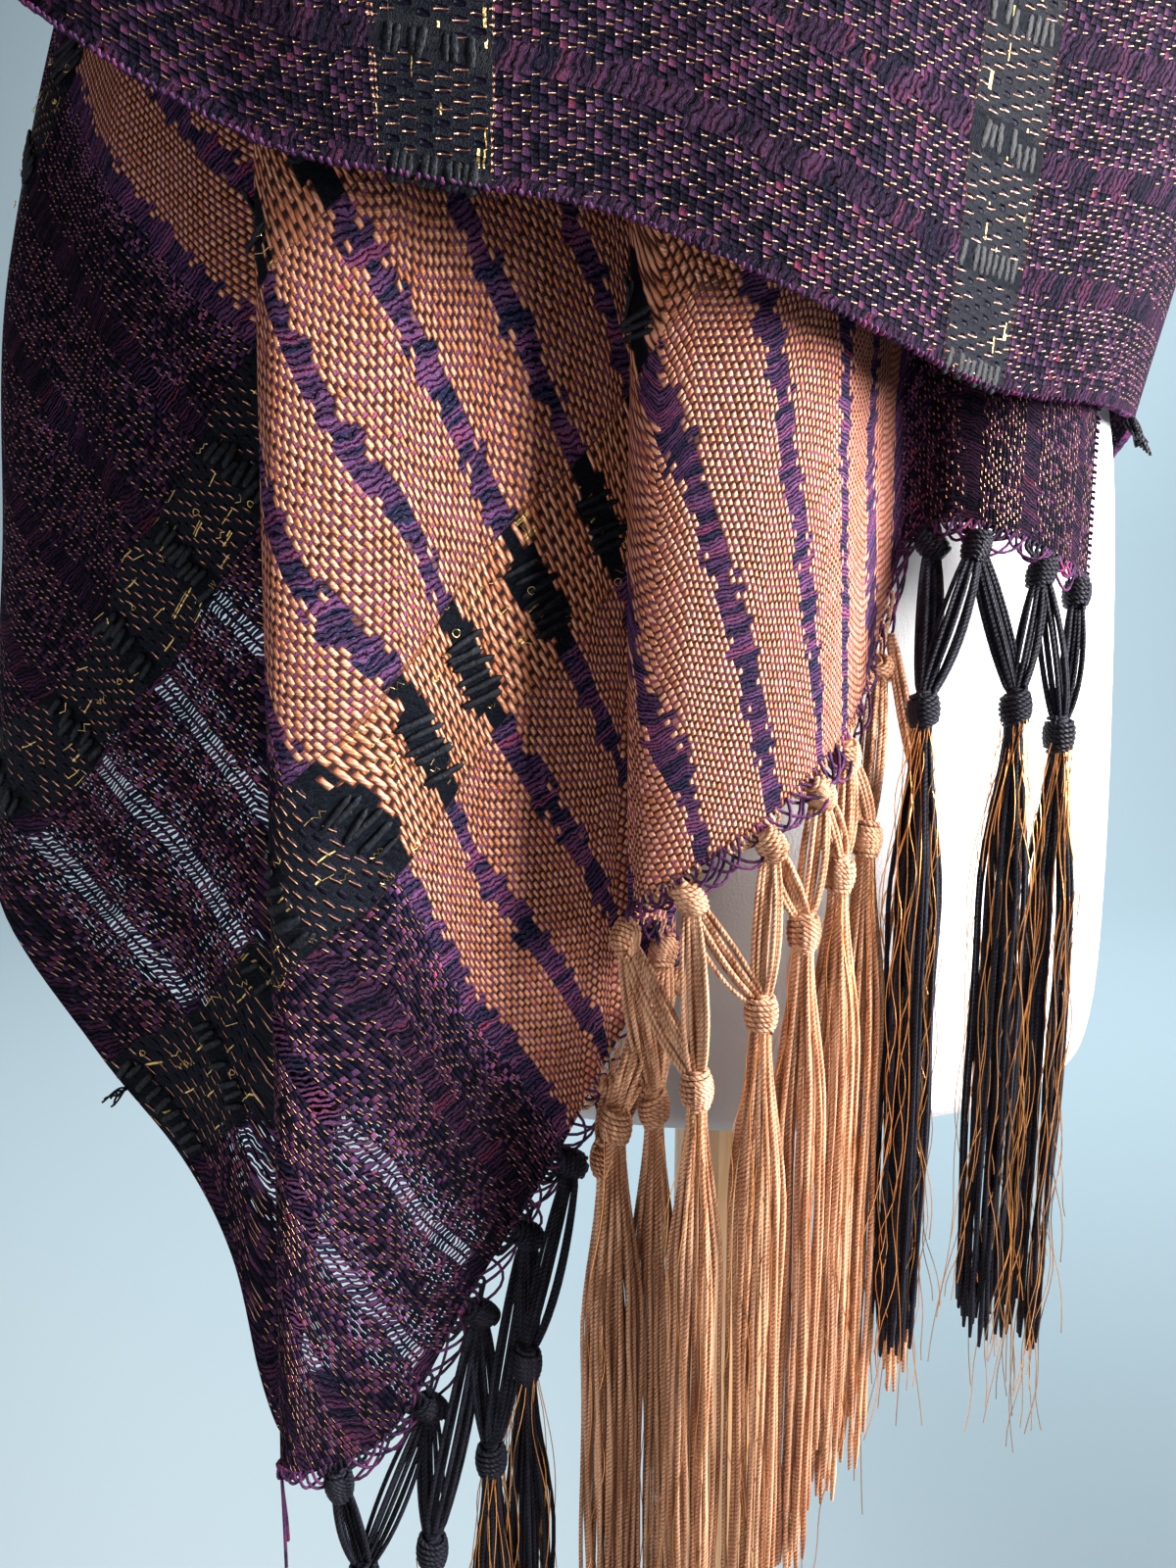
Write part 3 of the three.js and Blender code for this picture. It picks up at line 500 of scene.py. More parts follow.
def front_column(column, rows):
    """The points of one column of the cloth, from the shoulder ridge to the hem."""
    ridge, chest, waist, rim, hem = column
    top = between(RIDGE_TIP[1], RIDGE_NECK[1], (ridge - RIDGE_TIP[0]) / (RIDGE_NECK[0] - RIDGE_TIP[0]))
    controls = [(ridge, -1.6, top)]
    if ridge >= RIDGE_TIP[0] + 10:
        x = between(ridge, chest[0], COLLAR_SHIFT)
        z = between(top, CHEST_HEIGHT, COLLAR_DROP)
        y = min((COLLAR_DROP + 0.15) * chest[1], -torso_front(x, z) - COLLAR_CLEARANCE)
        controls.append((x, y, z))
    controls.append((*chest, CHEST_HEIGHT))
    for z in (WAIST_HEIGHT, (WAIST_HEIGHT + hem) / 2, hem):
        share = (WAIST_HEIGHT - z) / (WAIST_HEIGHT - RIM_HEIGHT)
        controls.append((between(waist[0], rim[0], share), between(waist[1], rim[1], share), z))
    return smooth_run(controls, np.linspace(0, len(controls) - 1, rows + 1))


front_columns = np.array([front_column(column, FRONT_ROWS) for column in FRONT_COLUMNS])
column_places = np.linspace(0, len(FRONT_COLUMNS) - 1, (len(FRONT_COLUMNS) - 1) * STEPS_PER_COLUMN + 1)
front_grid = smooth_run(front_columns, column_places).transpose(1, 0, 2)

# Where the warp groups lie: for some columns, the group that is met at four heights, the distance from the
# end of the cloth along the warp at the hem, and how fast that grows with height, below and above a band.
WARP_HEIGHTS = (800, 950, 1100, 1250)
FRONT_WARP = [
    (0, (-3.8, -0.9, 1.9, 4.7), 279, 0.95, 0.95), (1, (-3.0, -0.15, 2.7, 5.5), 230, 0.95, 0.95),
    (2, (-2.1, 0.75, 3.6, 6.3), 184, 0.95, 0.95), (3.5, (-1.35, 1.75, 4.7, 7.9), 116, 0.7, 0.69),
    (5.5, (0.25, 2.75, 5.85, 9.3), 62, 0.53, 0.567), (8.5, (0.9, 4.0, 6.8, 9.7), 18, 0.57, 0.54),
    (11, (1.5, 5.15, 7.65, 10.0), 0, 0.61, 0.526), (13, (3.2, 5.95, 8.8, 11.1), 0, 0.525, 0.51),
    (14.1, (4.0, 7.2, 9.7, 12.0), 0, 0.55, 0.5), (15.6, (5.2, 8.1, 10.75, 13.0), 0, 0.59, 0.5),
    (16.2, (5.6, 8.55, 11.25, 13.5), 0, 0.6, 0.5), (20.8, (8.3, 10.2, 11.9, 13.4), 0, 0.65, 0.6),
    (22, (9.1, 10.75, 12.35, 13.8), 0, 0.60, 0.62), (22.8, (10.0, 11.45, 12.85, 14.3), 0, 0.615, 0.65),
    (23.4, (10.8, 12.05, 13.35, 14.8), 0, 0.63, 0.68), (24, (11.5, 12.7, 13.85, 15.0), 0, 0.67, 0.72),
    (24.5, (12.8, 13.6, 14.3, 15.3), 0, 0.74, 0.78), (25.2, (13.9, 14.4, 15.05, 15.9), 0, 0.85, 0.85),
    (26, (14.6, 14.9, 15.4, 16.2), 0, 0.93, 0.93), (26.6, (15.8, 15.9, 16.05, 16.6), 0, 1, 1),
    (28.3, (17, 17, 17, 17.3), 0, 1, 1), (29.2, (18, 18, 18, 18.1), 0, 1, 1),
    (30.3, (19, 19, 19, 19), 0, 1, 1), (31, (19.5, 19.5, 19.5, 19.5), 0, 1, 1),
]
FRONT_BANDS = (118, 228, 420)       # mm from the end of the cloth, along the warp


def front_weave(grid):
    """The warp group at each point of the first end, and the distance from its edge in mm."""
    known = np.array([row[0] for row in FRONT_WARP])
    rows = np.arange(len(known))
    place = np.interp(column_places, known, rows)
    groups = smooth_run([row[1] for row in FRONT_WARP], place)
    at_hem = np.interp(column_places, known, [row[2] for row in FRONT_WARP])
    growth = np.interp(column_places, known, [row[3] for row in FRONT_WARP])
    growth_above = np.interp(column_places, known, [row[4] for row in FRONT_WARP])
    step = WARP_HEIGHTS[1] - WARP_HEIGHTS[0]
    across = np.empty(grid.shape[:2])
    for j in range(grid.shape[1]):
        spot = (grid[:, j, 2] - WARP_HEIGHTS[0]) / step
        inside = np.clip(spot, 0, 3)
        value = smooth_run(groups[j], inside)
        across[:, j] = value + (spot - inside) * np.where(spot > 3, groups[j][3] - groups[j][2],
                                                          groups[j][1] - groups[j][0])
    distance = at_hem + growth * (grid[:, :, 2] - grid[-1:, :, 2])
    past_band = distance - FRONT_BANDS[0]
    distance = np.where(past_band > 0, FRONT_BANDS[0] + past_band * growth_above / growth, distance)
    return across, distance


front_group, front_distance = front_weave(front_grid)
front_band = np.min([np.abs(front_distance - band) for band in FRONT_BANDS], axis=0)
# the cloth is pulled longer towards its right edge, where its picks keep their spacing
pulled = np.interp(column_places, (19, 21.5, 23, 24.5, 26), (1, 2.0, 1.9, 1.6, 1.3))
front_uv = np.stack([front_group * SLOTS, front_distance * pulled / END_PICK_PITCH], axis=-1)


def soft_step(values, low, high):
    t = np.clip((values - low) / (high - low), 0, 1)
    return t * t * (3 - 2 * t)


# The ladders that stand open, as a group and the stretch from the end of the cloth in mm.
OPEN_LADDERS = [(1, 84, 101), (1, 136, 206), (2, 20, 60), (2, 90, 100), (2, 134, 212), (3, 6, 101),
                (3, 152, 212), (4, 8, 101), (4, 186, 212), (4, 296, 322), (5, 258, 280)]
front_open = np.zeros(front_group.shape)
for group, low, high in OPEN_LADDERS:
    near = 1 - soft_step(np.abs(front_group - group), 0.15, 0.5)
    within = soft_step(front_distance, low - 4, low + 4) * (1 - soft_step(front_distance, high - 4, high + 4))
    front_open = np.maximum(front_open, near * within)
front_end = cloth_piece("front_end_cloth", front_grid, front_uv, front_band, front_open)
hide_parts("front_end")
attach(front_end, "root")

# ---------------------------------------------------------------------------------------------------------
# The rest of the shawl in one run: round the back, over the right-hand shoulder, across the chest over the
# first end, over the left-hand shoulder again, and down the back to the second end.

STEPS_PER_SECTION = 24
WRAP_ROWS = 130
# neck, shoulder, upper, lower and hem of each section across the cloth
WRAP_SECTIONS = [
    ((-68, 0, 1462), (-196, 0, 1392), (-232, -5, 1290), (-268, -12, 1150), (-292, -22, 1000)),
    ((-55, 42, 1466), (-150, 62, 1400), (-205, 85, 1280), (-232, 100, 1150), (-252, 108, 1035)),
    ((-30, 60, 1470), (-85, 100, 1395), (-100, 128, 1280), (-105, 135, 1150), (-110, 140, 1022)),
    ((0, 66, 1472), (0, 108, 1395), (0, 130, 1280), (0, 138, 1150), (0, 142, 1012)),
    ((30, 60, 1470), (85, 100, 1395), (100, 126, 1280), (105, 130, 1150), (110, 132, 1030)),
    ((55, 42, 1466), (150, 60, 1400), (182, 78, 1285), (174, 84, 1170), (166, 86, 1064)),
    ((68, 0, 1460), (196, 0, 1392), (204, 0, 1290), (182, -2, 1180), (164, -6, 1094)),
    ((58, -42, 1452), (124, -82, 1390), (152, -108, 1290), (138, -112, 1190), (114, -108, 1093)),
    ((28, -64, 1440), (64, -122, 1370), (76, -148, 1280), (68, -153, 1185), (58, -152, 1093)),
    ((-5, -74, 1436), (8, -136, 1360), (10, -170, 1280), (7, -184, 1190), (3, -186, 1108)),
    ((-35, -72, 1442), (-44, -142, 1355), (-52, -180, 1285), (-55, -192, 1205), (-57, -193, 1131)),
    ((-55, -62, 1452), (-88, -132, 1360), (-104, -177, 1290), (-110, -196, 1215), (-110, -198, 1139)),
    ((-68, -45, 1464), (-124, -112, 1375), (-153, -162, 1300), (-162, -192, 1225), (-156, -199, 1149)),
    ((-74, -22, 1478), (-160, -74, 1410), (-199, -124, 1330), (-216, -168, 1260), (-219, -188, 1188)),
    ((-76, 2, 1484), (-178, -8, 1428), (-232, -28, 1378), (-262, -60, 1314), (-269, -92, 1254)),
    ((-70, 34, 1490), (-158, 60, 1432), (-226, 64, 1378), (-270, 48, 1316), (-288, 20, 1264)),
    ((-58, 88, 1462), (-112, 120, 1410), (-174, 128, 1354), (-236, 118, 1292), (-272, 92, 1234)),
    ((-45, 134, 1368), (-95, 154, 1330), (-155, 162, 1284), (-214, 152, 1228), (-258, 126, 1170)),
    ((-40, 155, 1240), (-90, 163, 1210), (-150, 168, 1175), (-207, 160, 1128), (-248, 140, 1078)),
    ((-38, 162, 1120), (-88, 168, 1082), (-146, 172, 1040), (-202, 165, 992), (-242, 150, 950)),
]
LAST_SECTION = len(WRAP_SECTIONS) - 1
# A lengthwise fold: its place across, its width, the sections where it starts, is full and ends, its height
LENGTHWISE_FOLDS = [
    (0.1, 0.045, 6, 14, 19, 9), (0.24, 0.05, 7, 14, 19, 12), (0.4, 0.05, 8, 14.5, 19, 12),
    (0.58, 0.055, 11, 15, 19, 13), (0.78, 0.055, 13, 17, 19, 13),
]
# A hanging fold, which grows towards the lower selvedge: its section, its width and its height
HANGING_FOLDS = [(0.55, 0.2, 9), (1.5, 0.22, -7), (3.4, 0.16, 8), (4.3, 0.18, 9), (5.3, 0.2, 5)]
WRAP_BANDS = (1.3, 3.1, 5.0, 8.15, 10.95, 13.6, 16.2, 17.62, 18.3)     # sections where bands cross


def fold_height(section, across):
    height = np.zeros(np.broadcast(section, across).shape)
    for place, width, start, full, end, rise in LENGTHWISE_FOLDS:
        grown = soft_step(section, start, full) * (1 - 0.35 * soft_step(section, full, end))
        height = height + rise * grown * np.exp(-((across - place) / width) ** 2)
    for place, width, rise in HANGING_FOLDS:
        height = height + rise * soft_step(across, 0.25, 1) * np.exp(-((section - place) / width) ** 2)
    return height


def grid_normals(grid):
    """The normal at each point of a grid, out from the body."""
    normals = np.cross(np.gradient(grid, axis=0), np.gradient(grid, axis=1))
    return normals / np.linalg.norm(normals, axis=2, keepdims=True)


section_run = np.linspace(0, LAST_SECTION, LAST_SECTION * STEPS_PER_SECTION + 1)
across_run = np.linspace(0, 1, WRAP_ROWS + 1)
section_lines = smooth_run(np.array(WRAP_SECTIONS, float), section_run)
wrap_base = smooth_run(section_lines.transpose(1, 0, 2), across_run * 4)
wrap_folds = fold_height(section_run[None, :], across_run[:, None])
wrap_grid = wrap_base + grid_normals(wrap_base) * wrap_folds[:, :, None]


def wrap_weave(grid):
    """Ends across, counted from the lower selvedge by distance, and picks along the run of sections."""
    rise = np.linalg.norm(np.diff(grid, axis=0), axis=2)
    from_hem = np.concatenate([np.zeros((1, grid.shape[1])), np.cumsum(rise[::-1], axis=0)])[::-1]
    groups = from_hem / GROUP_PITCH
    # next to the first end the cloth is pleated on the shoulder, with all its groups between neck and hem
    pleated = np.interp(from_hem / from_hem[0], (0, 0.73, 1), (0, 7.4, 19.5))
    share = 1 - soft_step(section_run, 0, 1.6)
    groups = groups + (pleated - groups) * share
    middle = grid[int(0.6 * WRAP_ROWS)]
    length = np.concatenate([[0], np.cumsum(np.linalg.norm(np.diff(middle, axis=0), axis=1))])
    distance = length[None, :] + 0.95 * from_hem * share
    return groups, distance, length


wrap_group, wrap_distance, wrap_length = wrap_weave(wrap_grid)
wrap_uv = np.stack([wrap_group * SLOTS, wrap_distance / PICK_PITCH], axis=-1)
band_lengths = np.interp(WRAP_BANDS, section_run, wrap_length)
wrap_band = np.min([np.abs(wrap_length - length) for length in band_lengths], axis=0)
wrap_band = np.broadcast_to(wrap_band, wrap_group.shape)
wrap_open = np.clip(0.3 * soft_step(section_run, 15.5, 17.5) * (1 - soft_step(wrap_group, 5, 6)), 0, 1)
wrap = cloth_piece("wrapped_cloth", wrap_grid, wrap_uv, wrap_band, wrap_open)
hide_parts("left_shoulder", "back_stretch", "right_shoulder", "front_crossing", "thrown_end")
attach(wrap, "root")

# ---------------------------------------------------------------------------------------------------------
# The front fringe. The warp ends of each group are gathered into a wrapped knot. Below it they part in two,
# and a second row of knots ties each half to its neighbour's, so the fringe hangs as a net with tassels.
# The yarns are two-ply cords, of shiny tan silk or black, with copper filaments straying among them.

KNOT_RADIUS = 5.0
FIRST_KNOT_DROP = 6.8               # from the hem, square to it
CORD_RADIUS = 0.8
FILAMENT_RADIUS = 0.2
TASSEL_LENGTH = 232
TASSEL_CORDS = 25
TASSEL_RADIUS = 9.8
TASSEL_STEPS = 24                   # points along a cord of a tassel
NET_YARNS = 8                       # in each half of a group
BLACK_FILAMENTS = 26                # copper filaments to a black tassel, and to a tan one
TAN_FILAMENTS = 6
FILAMENT_STEPS = 40
GOLDEN_ANGLE = 2.39996              # sets the cords of a tassel evenly in the round
ROWS_AT_HEM = 7                     # rows of the grid over which the hem's direction is taken


class Making(Wiring):
    """The same for a Geometry Nodes tree, with named inputs."""

    def __init__(self, name, **inputs):
        self.tree = bpy.data.node_groups.new(name, "GeometryNodeTree")
        for label, kind in inputs.items():
            self.tree.interface.new_socket(label, in_out="INPUT", socket_type=kind)
        self.tree.interface.new_socket("Geometry", in_out="OUTPUT", socket_type="NodeSocketGeometry")
        self.given = self.tree.nodes.new("NodeGroupInput").outputs
        self.result = self.tree.nodes.new("NodeGroupOutput")

    def close(self, geometry, material):
        """Ends the tree: real geometry, shaded smooth, in one material."""
        real = self.node("GeometryNodeRealizeInstances", None, Geometry=geometry).outputs[0]
        smooth = self.node("GeometryNodeSetShadeSmooth", None, Geometry=real).outputs[0]
        painted = self.node("GeometryNodeSetMaterial", None, Geometry=smooth, Material=material).outputs[0]
        self.tree.links.new(painted, self.result.inputs[0])


def grown(making, name, mesh, **values):
    """Runs a Geometry Nodes tree on a mesh and keeps the result as a plain mesh."""
    piece = bpy.data.objects.new(name, mesh)
    bpy.context.collection.objects.link(piece)
    modifier = piece.modifiers.new("making", "NODES")
    modifier.node_group = making.tree
    for socket in making.tree.interface.items_tree:
        if socket.in_out == "INPUT" and socket.name in values:
            modifier[socket.identifier] = values[socket.name]
    evaluated = piece.evaluated_get(bpy.context.evaluated_depsgraph_get())
    plain = bpy.data.meshes.new_from_object(evaluated)
    piece.modifiers.clear()
    piece.data = plain
    return piece


def yarn_making():
    """A round yarn along each chain of edges. Its points say how thick it is."""
    m = Making("Yarn", Paths="NodeSocketGeometry", Sides="NodeSocketInt", Material="NodeSocketMaterial")
    chains = m.node("GeometryNodeMeshToCurve", None, Mesh=m.given["Paths"]).outputs[0]
    run = m.node("GeometryNodeSplineParameter").outputs["Length"]
    chains = m.node("GeometryNodeStoreNamedAttribute", {"data_type": "FLOAT", "domain": "POINT"},
                    Geometry=chains, Name="along", Value=run).outputs[0]
    ring = m.node("GeometryNodeCurvePrimitiveCircle", None, Resolution=m.given["Sides"],
                  Radius=1.0).outputs[0]
    turn = m.node("GeometryNodeInputPosition").outputs[0]
    ring = m.node("GeometryNodeStoreNamedAttribute", {"data_type": "FLOAT_VECTOR", "domain": "POINT"},
                  Geometry=ring, Name="turn", Value=turn).outputs[0]
    thick = m.node("GeometryNodeInputNamedAttribute", {"data_type": "FLOAT"}, Name="thickness").outputs[0]
    tubes = m.node("GeometryNodeCurveToMesh", None, Curve=chains, Profile_Curve=ring, Scale=thick,
                   Fill_Caps=True).outputs[0]
    m.close(tubes, m.given["Material"])
    return m


yarn = yarn_making()


class Yarns:
    """Collects yarns as lists of points in mm with a radius, and makes them one piece."""

    def __init__(self):
        self.points, self.radii, self.edges = [], [], []

    def lay(self, path, radius):
        path = np.asarray(path, float)
        first = len(self.points)
        self.points.extend((path * MM).tolist())
        self.radii.extend((np.broadcast_to(radius, len(path)) * MM).tolist())
        self.edges.extend((first + k, first + k + 1) for k in range(len(path) - 1))

    def piece(self, name, material, sides=6):
        mesh = bpy.data.meshes.new(name)
        mesh.from_pydata(self.points, self.edges, [])
        mesh.attributes.new("thickness", "FLOAT", "POINT").data.foreach_set("value", self.radii)
        return grown(yarn, name, mesh, Sides=sides, Material=material)


def cord_material(name, light, shade, twist, roughness):
    """A two-ply cord, with a groove between its plies and fibres that follow the twist in mm."""
    w = Wiring(name)
    turn = w.node("ShaderNodeAttribute", {"attribute_name": "turn"}).outputs["Vector"]
    around = w.node("ShaderNodeSeparateXYZ", None, Vector=turn)
    along = w.node("ShaderNodeAttribute", {"attribute_name": "along"}).outputs["Fac"]
    place = w.node("ShaderNodeTexCoord").outputs["Object"]
    phase = w.times(along, 2 * math.pi / (twist * MM))
    sine, cosine = w.maths("SINE", phase), w.maths("COSINE", phase)
    ply_y = w.subtract(w.times(around.outputs[1], cosine), w.times(around.outputs[0], sine))
    ply_x = w.add(w.times(around.outputs[0], cosine), w.times(around.outputs[1], sine))
    height = w.power(w.absolute(ply_y), 0.6)
    strand = w.node("ShaderNodeCombineXYZ", None, X=w.times(ply_x, 2.5), Y=w.times(ply_y, 2.5),
                    Z=w.times(along, 90.0)).outputs[0]
    fibre = w.noise(strand, 3.0, 3.0)
    drawn_out = w.node("ShaderNodeMapping", None, Vector=place, Scale=(1.0, 1.0, 0.06)).outputs[0]
    drift = w.noise(drawn_out, 420.0, 1.0)
    # the groove between the plies is painted shade and the crown of each ply a painted highlight; fibres and
    # a slow drift along the cord vary the tone at random
    tone = w.add(w.times(height, 0.45), w.add(w.times(fibre, 0.6), w.times(w.subtract(drift, 0.5), 1.9)))
    colour = w.tint(w.step_between(tone, 0.1, 1.0), shade, light)
    bump = w.node("ShaderNodeBump", None, Strength=1.0, Distance=0.0006,
                  Height=w.add(height, w.times(fibre, 0.3)))
    skin = w.node("ShaderNodeBsdfPrincipled", None, Base_Color=colour, Roughness=roughness,
                  Specular_IOR_Level=0.2, Normal=bump.outputs[0])
    return w.finish(skin.outputs[0])


def metal_material(name, colour):
    w = Wiring(name)
    skin = w.node("ShaderNodeBsdfPrincipled", None, Base_Color=colour, Roughness=0.28, Metallic=1.0)
    return w.finish(skin.outputs[0])


tan_cord = cord_material("tan silk cord", (0.90, 0.53, 0.33, 1), (0.36, 0.145, 0.07, 1), 3.2, 0.36)
black_cord = cord_material("black cord", (0.018, 0.020, 0.036, 1), (0.004, 0.004, 0.008, 1), 3.2, 0.5)
copper_thread = metal_material("copper thread", (0.95, 0.45, 0.16, 1))
random = np.random.default_rng(11)


def edge_point(grid, column, distance):
    """A point at a column of a grid's last row, carried on by a distance square to that edge."""
    column = min(max(column, 0.0), grid.shape[1] - 1.0)
    low = min(int(column), grid.shape[1] - 2)
    share = column - low
    hem = between(grid[-1, low], grid[-1, low + 1], share)
    above = between(grid[-1 - ROWS_AT_HEM, low], grid[-1 - ROWS_AT_HEM, low + 1], share)
    edge = grid[-1, min(low + 3, grid.shape[1] - 1)] - grid[-1, max(low - 3, 0)]
    edge = edge / np.linalg.norm(edge)
    down = hem - above
    down = down - edge * np.dot(down, edge)
    return hem + down / np.linalg.norm(down) * distance


def across_axis(axis):
    """Two directions square to an axis and to each other."""
    axis = axis / np.linalg.norm(axis)
    side = np.cross(axis, (0.0, 1.0, 0.15))
    side = side / np.linalg.norm(side)
    return axis, side, np.cross(axis, side)


def wrapped_knot(yarns, centre, axis, radius=KNOT_RADIUS, wound=6):
    """Yarns lying side by side, wound round the group in a short barrel, over a filled core."""
    axis, side, front = across_axis(axis)
    start = random.uniform(0, 2 * math.pi)
    turns = random.uniform(1.15, 1.5)
    lean = random.uniform(-0.35, 0.35)
    pitch = 2 * radius * 0.95 / wound
    for k in range(wound):
        share = np.linspace(0, 1, 24)
        angle = start + 2 * math.pi * turns * share
        level = (k - (wound - 1) / 2) * pitch + (share - 0.5) * 3.2 + lean * radius * np.cos(angle)
        bulge = radius * (1 - 0.42 * (level / (radius * 1.35)) ** 2)
        bulge = np.clip(bulge, 0.35 * radius, radius) - CORD_RADIUS * 0.8
        path = (centre + axis * level[:, None] + side * (bulge * np.cos(angle))[:, None]
                + front * (bulge * np.sin(angle))[:, None])
        yarns.lay(path, CORD_RADIUS)
    core = [centre + axis * level for level in np.linspace(-1.15, 1.15, 7) * radius]
    yarns.lay(core, radius * np.array([0.45, 0.62, 0.72, 0.75, 0.72, 0.62, 0.45]))


def net_half(yarns, start, end, count=NET_YARNS):
    """Half of a group on its way from one knot to the next, as loose yarns side by side."""
    axis, side, front = across_axis(end - start)
    length = np.linalg.norm(end - start)
    share = np.linspace(0, 1, 12)[:, None]
    for k in range(count):
        offset = (k - (count - 1) / 2) * 0.85 + random.uniform(-0.4, 0.4)
        slack = random.uniform(0.0, 0.12) * length
        fan = side * offset * np.sin(math.pi * share) ** 0.5
        swing = front * random.uniform(-1.6, 1.6) + np.array((0, -1.2, -0.9)) * slack * 0.5
        loose = swing * np.sin(math.pi * share)
        path = start + (end - start) * share + fan + loose + side * offset * 0.35
        yarns.lay(path, CORD_RADIUS)


def tassel(yarns, filaments, threads, knot_centre, cords=TASSEL_CORDS, length=TASSEL_LENGTH):
    """Cords that hang from a knot, spread a little, and copper filaments that stray round them."""
    for k in range(cords):
        turn = k * GOLDEN_ANGLE + random.uniform(-0.2, 0.2)
        reach = TASSEL_RADIUS * math.sqrt((k + 0.4) / cords)
        fall = length * (1 - 0.13 * random.uniform(0, 1) ** 1.5)
        share = np.linspace(0, 1, TASSEL_STEPS)
        spread = 0.28 + 0.72 * soft_step(share, 0.0, 0.3) - 0.12 * soft_step(share, 0.6, 1.0)
        sway = random.uniform(0.2, 0.9) * soft_step(share, 0.05, 0.4)
        wave, turn_start = random.uniform(1.0, 2.6), random.uniform(0, 6)
        swing = share * 2 * math.pi * wave
        x = reach * math.cos(turn) * spread + sway * np.sin(swing + turn_start)
        y = reach * math.sin(turn) * spread * 0.8 + sway * np.cos(swing * 0.8 + turn_start)
        path = knot_centre + np.stack([x, y, -2.0 - fall * share], axis=1)
        thick = np.full(TASSEL_STEPS, CORD_RADIUS)
        thick[-2:] = (CORD_RADIUS * 1.35, CORD_RADIUS * 0.7)
        yarns.lay(path, thick)
    for k in range(threads):
        share = np.linspace(0, 1, FILAMENT_STEPS)
        fall = length * random.uniform(0.72, 1.16)
        turn = random.uniform(0, 2 * math.pi)
        reach = random.uniform(5.0, 11.0)
        coil = random.uniform(0.5, 1.8)
        wave, phase = random.uniform(2, 7), random.uniform(0, 6)
        spread = 0.35 + 0.65 * soft_step(share, 0, 0.25)
        stray = 9.0 * np.clip(share - 0.75, 0, 1) * random.uniform(-5, 5)
        x = reach * math.cos(turn) * spread + coil * np.sin(share * 2 * math.pi * wave + phase) + stray
        y = reach * math.sin(turn) * spread + coil * np.cos(share * 2 * math.pi * wave + phase)
        path = knot_centre + np.stack([x, y, -2.0 - fall * share], axis=1)
        filaments.lay(path, FILAMENT_RADIUS)


def gathered_ends(yarns, grid, columns_per_place, knot_centre, low, high, count=9):
    """The warp ends of one group, drawn together from the hem into their knot."""
    for k in range(count):
        place = between(low, high, (k + 0.5) / count)
        top = edge_point(grid, place * columns_per_place, -1.5)
        leave = edge_point(grid, place * columns_per_place, 1.5)
        end = knot_centre + np.array([0.0, 0.0, 2.0]) + (leave - knot_centre) * 0.12
        path = smooth_run([top, leave, between(leave, end, 0.6), end], np.linspace(0, 3, 9))
        yarns.lay(path, CORD_RADIUS * 0.85)


def knotted_fringe(name, cord, grid, columns_per_place, hem, knots, hangers):
    """One colour of the fringe: gathered ends, two rows of knots, the net between them and the tassels."""
    yarns = Yarns()
    filaments = Yarns()
    threads = BLACK_FILAMENTS if cord is black_cord else TAN_FILAMENTS
    heads = [edge_point(grid, place * columns_per_place, FIRST_KNOT_DROP) for place in knots]
    bounds = [hem[0]] + [(a + b) / 2 for a, b in zip(knots, knots[1:])] + [hem[1]]
    for head, place, low, high in zip(heads, knots, bounds, bounds[1:]):
        gap = 0.12 * (high - low)
        first, last = max(low + gap, place - 1.0), min(high - gap, place + 1.0)
        gathered_ends(yarns, grid, columns_per_place, head, first, last)
        above = edge_point(grid, place * columns_per_place, 0)
        wrapped_knot(yarns, head, head - above)
    for hanger, left, right in zip(hangers, heads, heads[1:]):
        hanger = np.array(hanger, float)
        for head in (left, right):
            net_half(yarns, head, hanger + np.array([0, 0, 3.0]))
        wrapped_knot(yarns, hanger, np.array([0.0, 0.0, -1.0]), KNOT_RADIUS * 1.1)
        tassel(yarns, filaments, threads, hanger)
    piece = yarns.piece(name, cord)
    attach(piece, "root")
    thread = filaments.piece(name + "_copper", copper_thread, 3)
    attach(thread, "root")
    return piece


# each colour: its stretch of the hem and the knots on it, counted in columns, and the second row's knots
FRONT_FRINGE = {
    "dark_left": (black_cord, "black_yarn", (12, 15.4), (12.35, 13.25, 13.85, 14.5, 15.2),
                  ((-143, -184, 702), (-120, -181, 710), (-100, -175, 740), (-88, -169, 772))),
    "tan": (tan_cord, "tan_yarn", (15.6, 26.8), (16, 17, 18.6, 20, 21.9, 23, 23.85, 24.7, 26),
            ((-61, -166, 845), (-58, -172, 860), (-45, -163, 862), (-33, -184, 878), (-13, -181, 902),
             (1, -173, 926), (14, -161, 942), (26, -146, 950))),
    "dark_right": (black_cord, "black_yarn", (27, 31), (27.3, 28.5, 29.6, 30.6),
                   ((43, -146, 993), (76, -138, 993), (94, -131, 983))),
}
for label, (cord, slot_name, hem, knots, hangers) in FRONT_FRINGE.items():
    fringe = knotted_fringe("fringe_" + label, cord, front_grid, STEPS_PER_COLUMN,
                            hem, knots, hangers)
    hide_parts("fringe_front_" + label)

# where the colours meet, a tan half and a black one share a knot
MIXED_KNOT = np.array((45.0, -138.0, 966.0))
mixed = Yarns()
mixed_filaments = Yarns()
net_half(mixed, edge_point(front_grid, 26.3 * STEPS_PER_COLUMN, FIRST_KNOT_DROP), MIXED_KNOT, 5)
wrapped_knot(mixed, MIXED_KNOT, np.array([0.0, 0.0, -1.0]), KNOT_RADIUS * 0.9)
tassel(mixed, mixed_filaments, 5, MIXED_KNOT, 12, 225)
mixed_yarn = mixed.piece("fringe_mixed", tan_cord)
mixed_copper = mixed_filaments.piece("fringe_mixed_copper", copper_thread, 3)
for piece in (mixed_yarn, mixed_copper):
    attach(piece, "root")

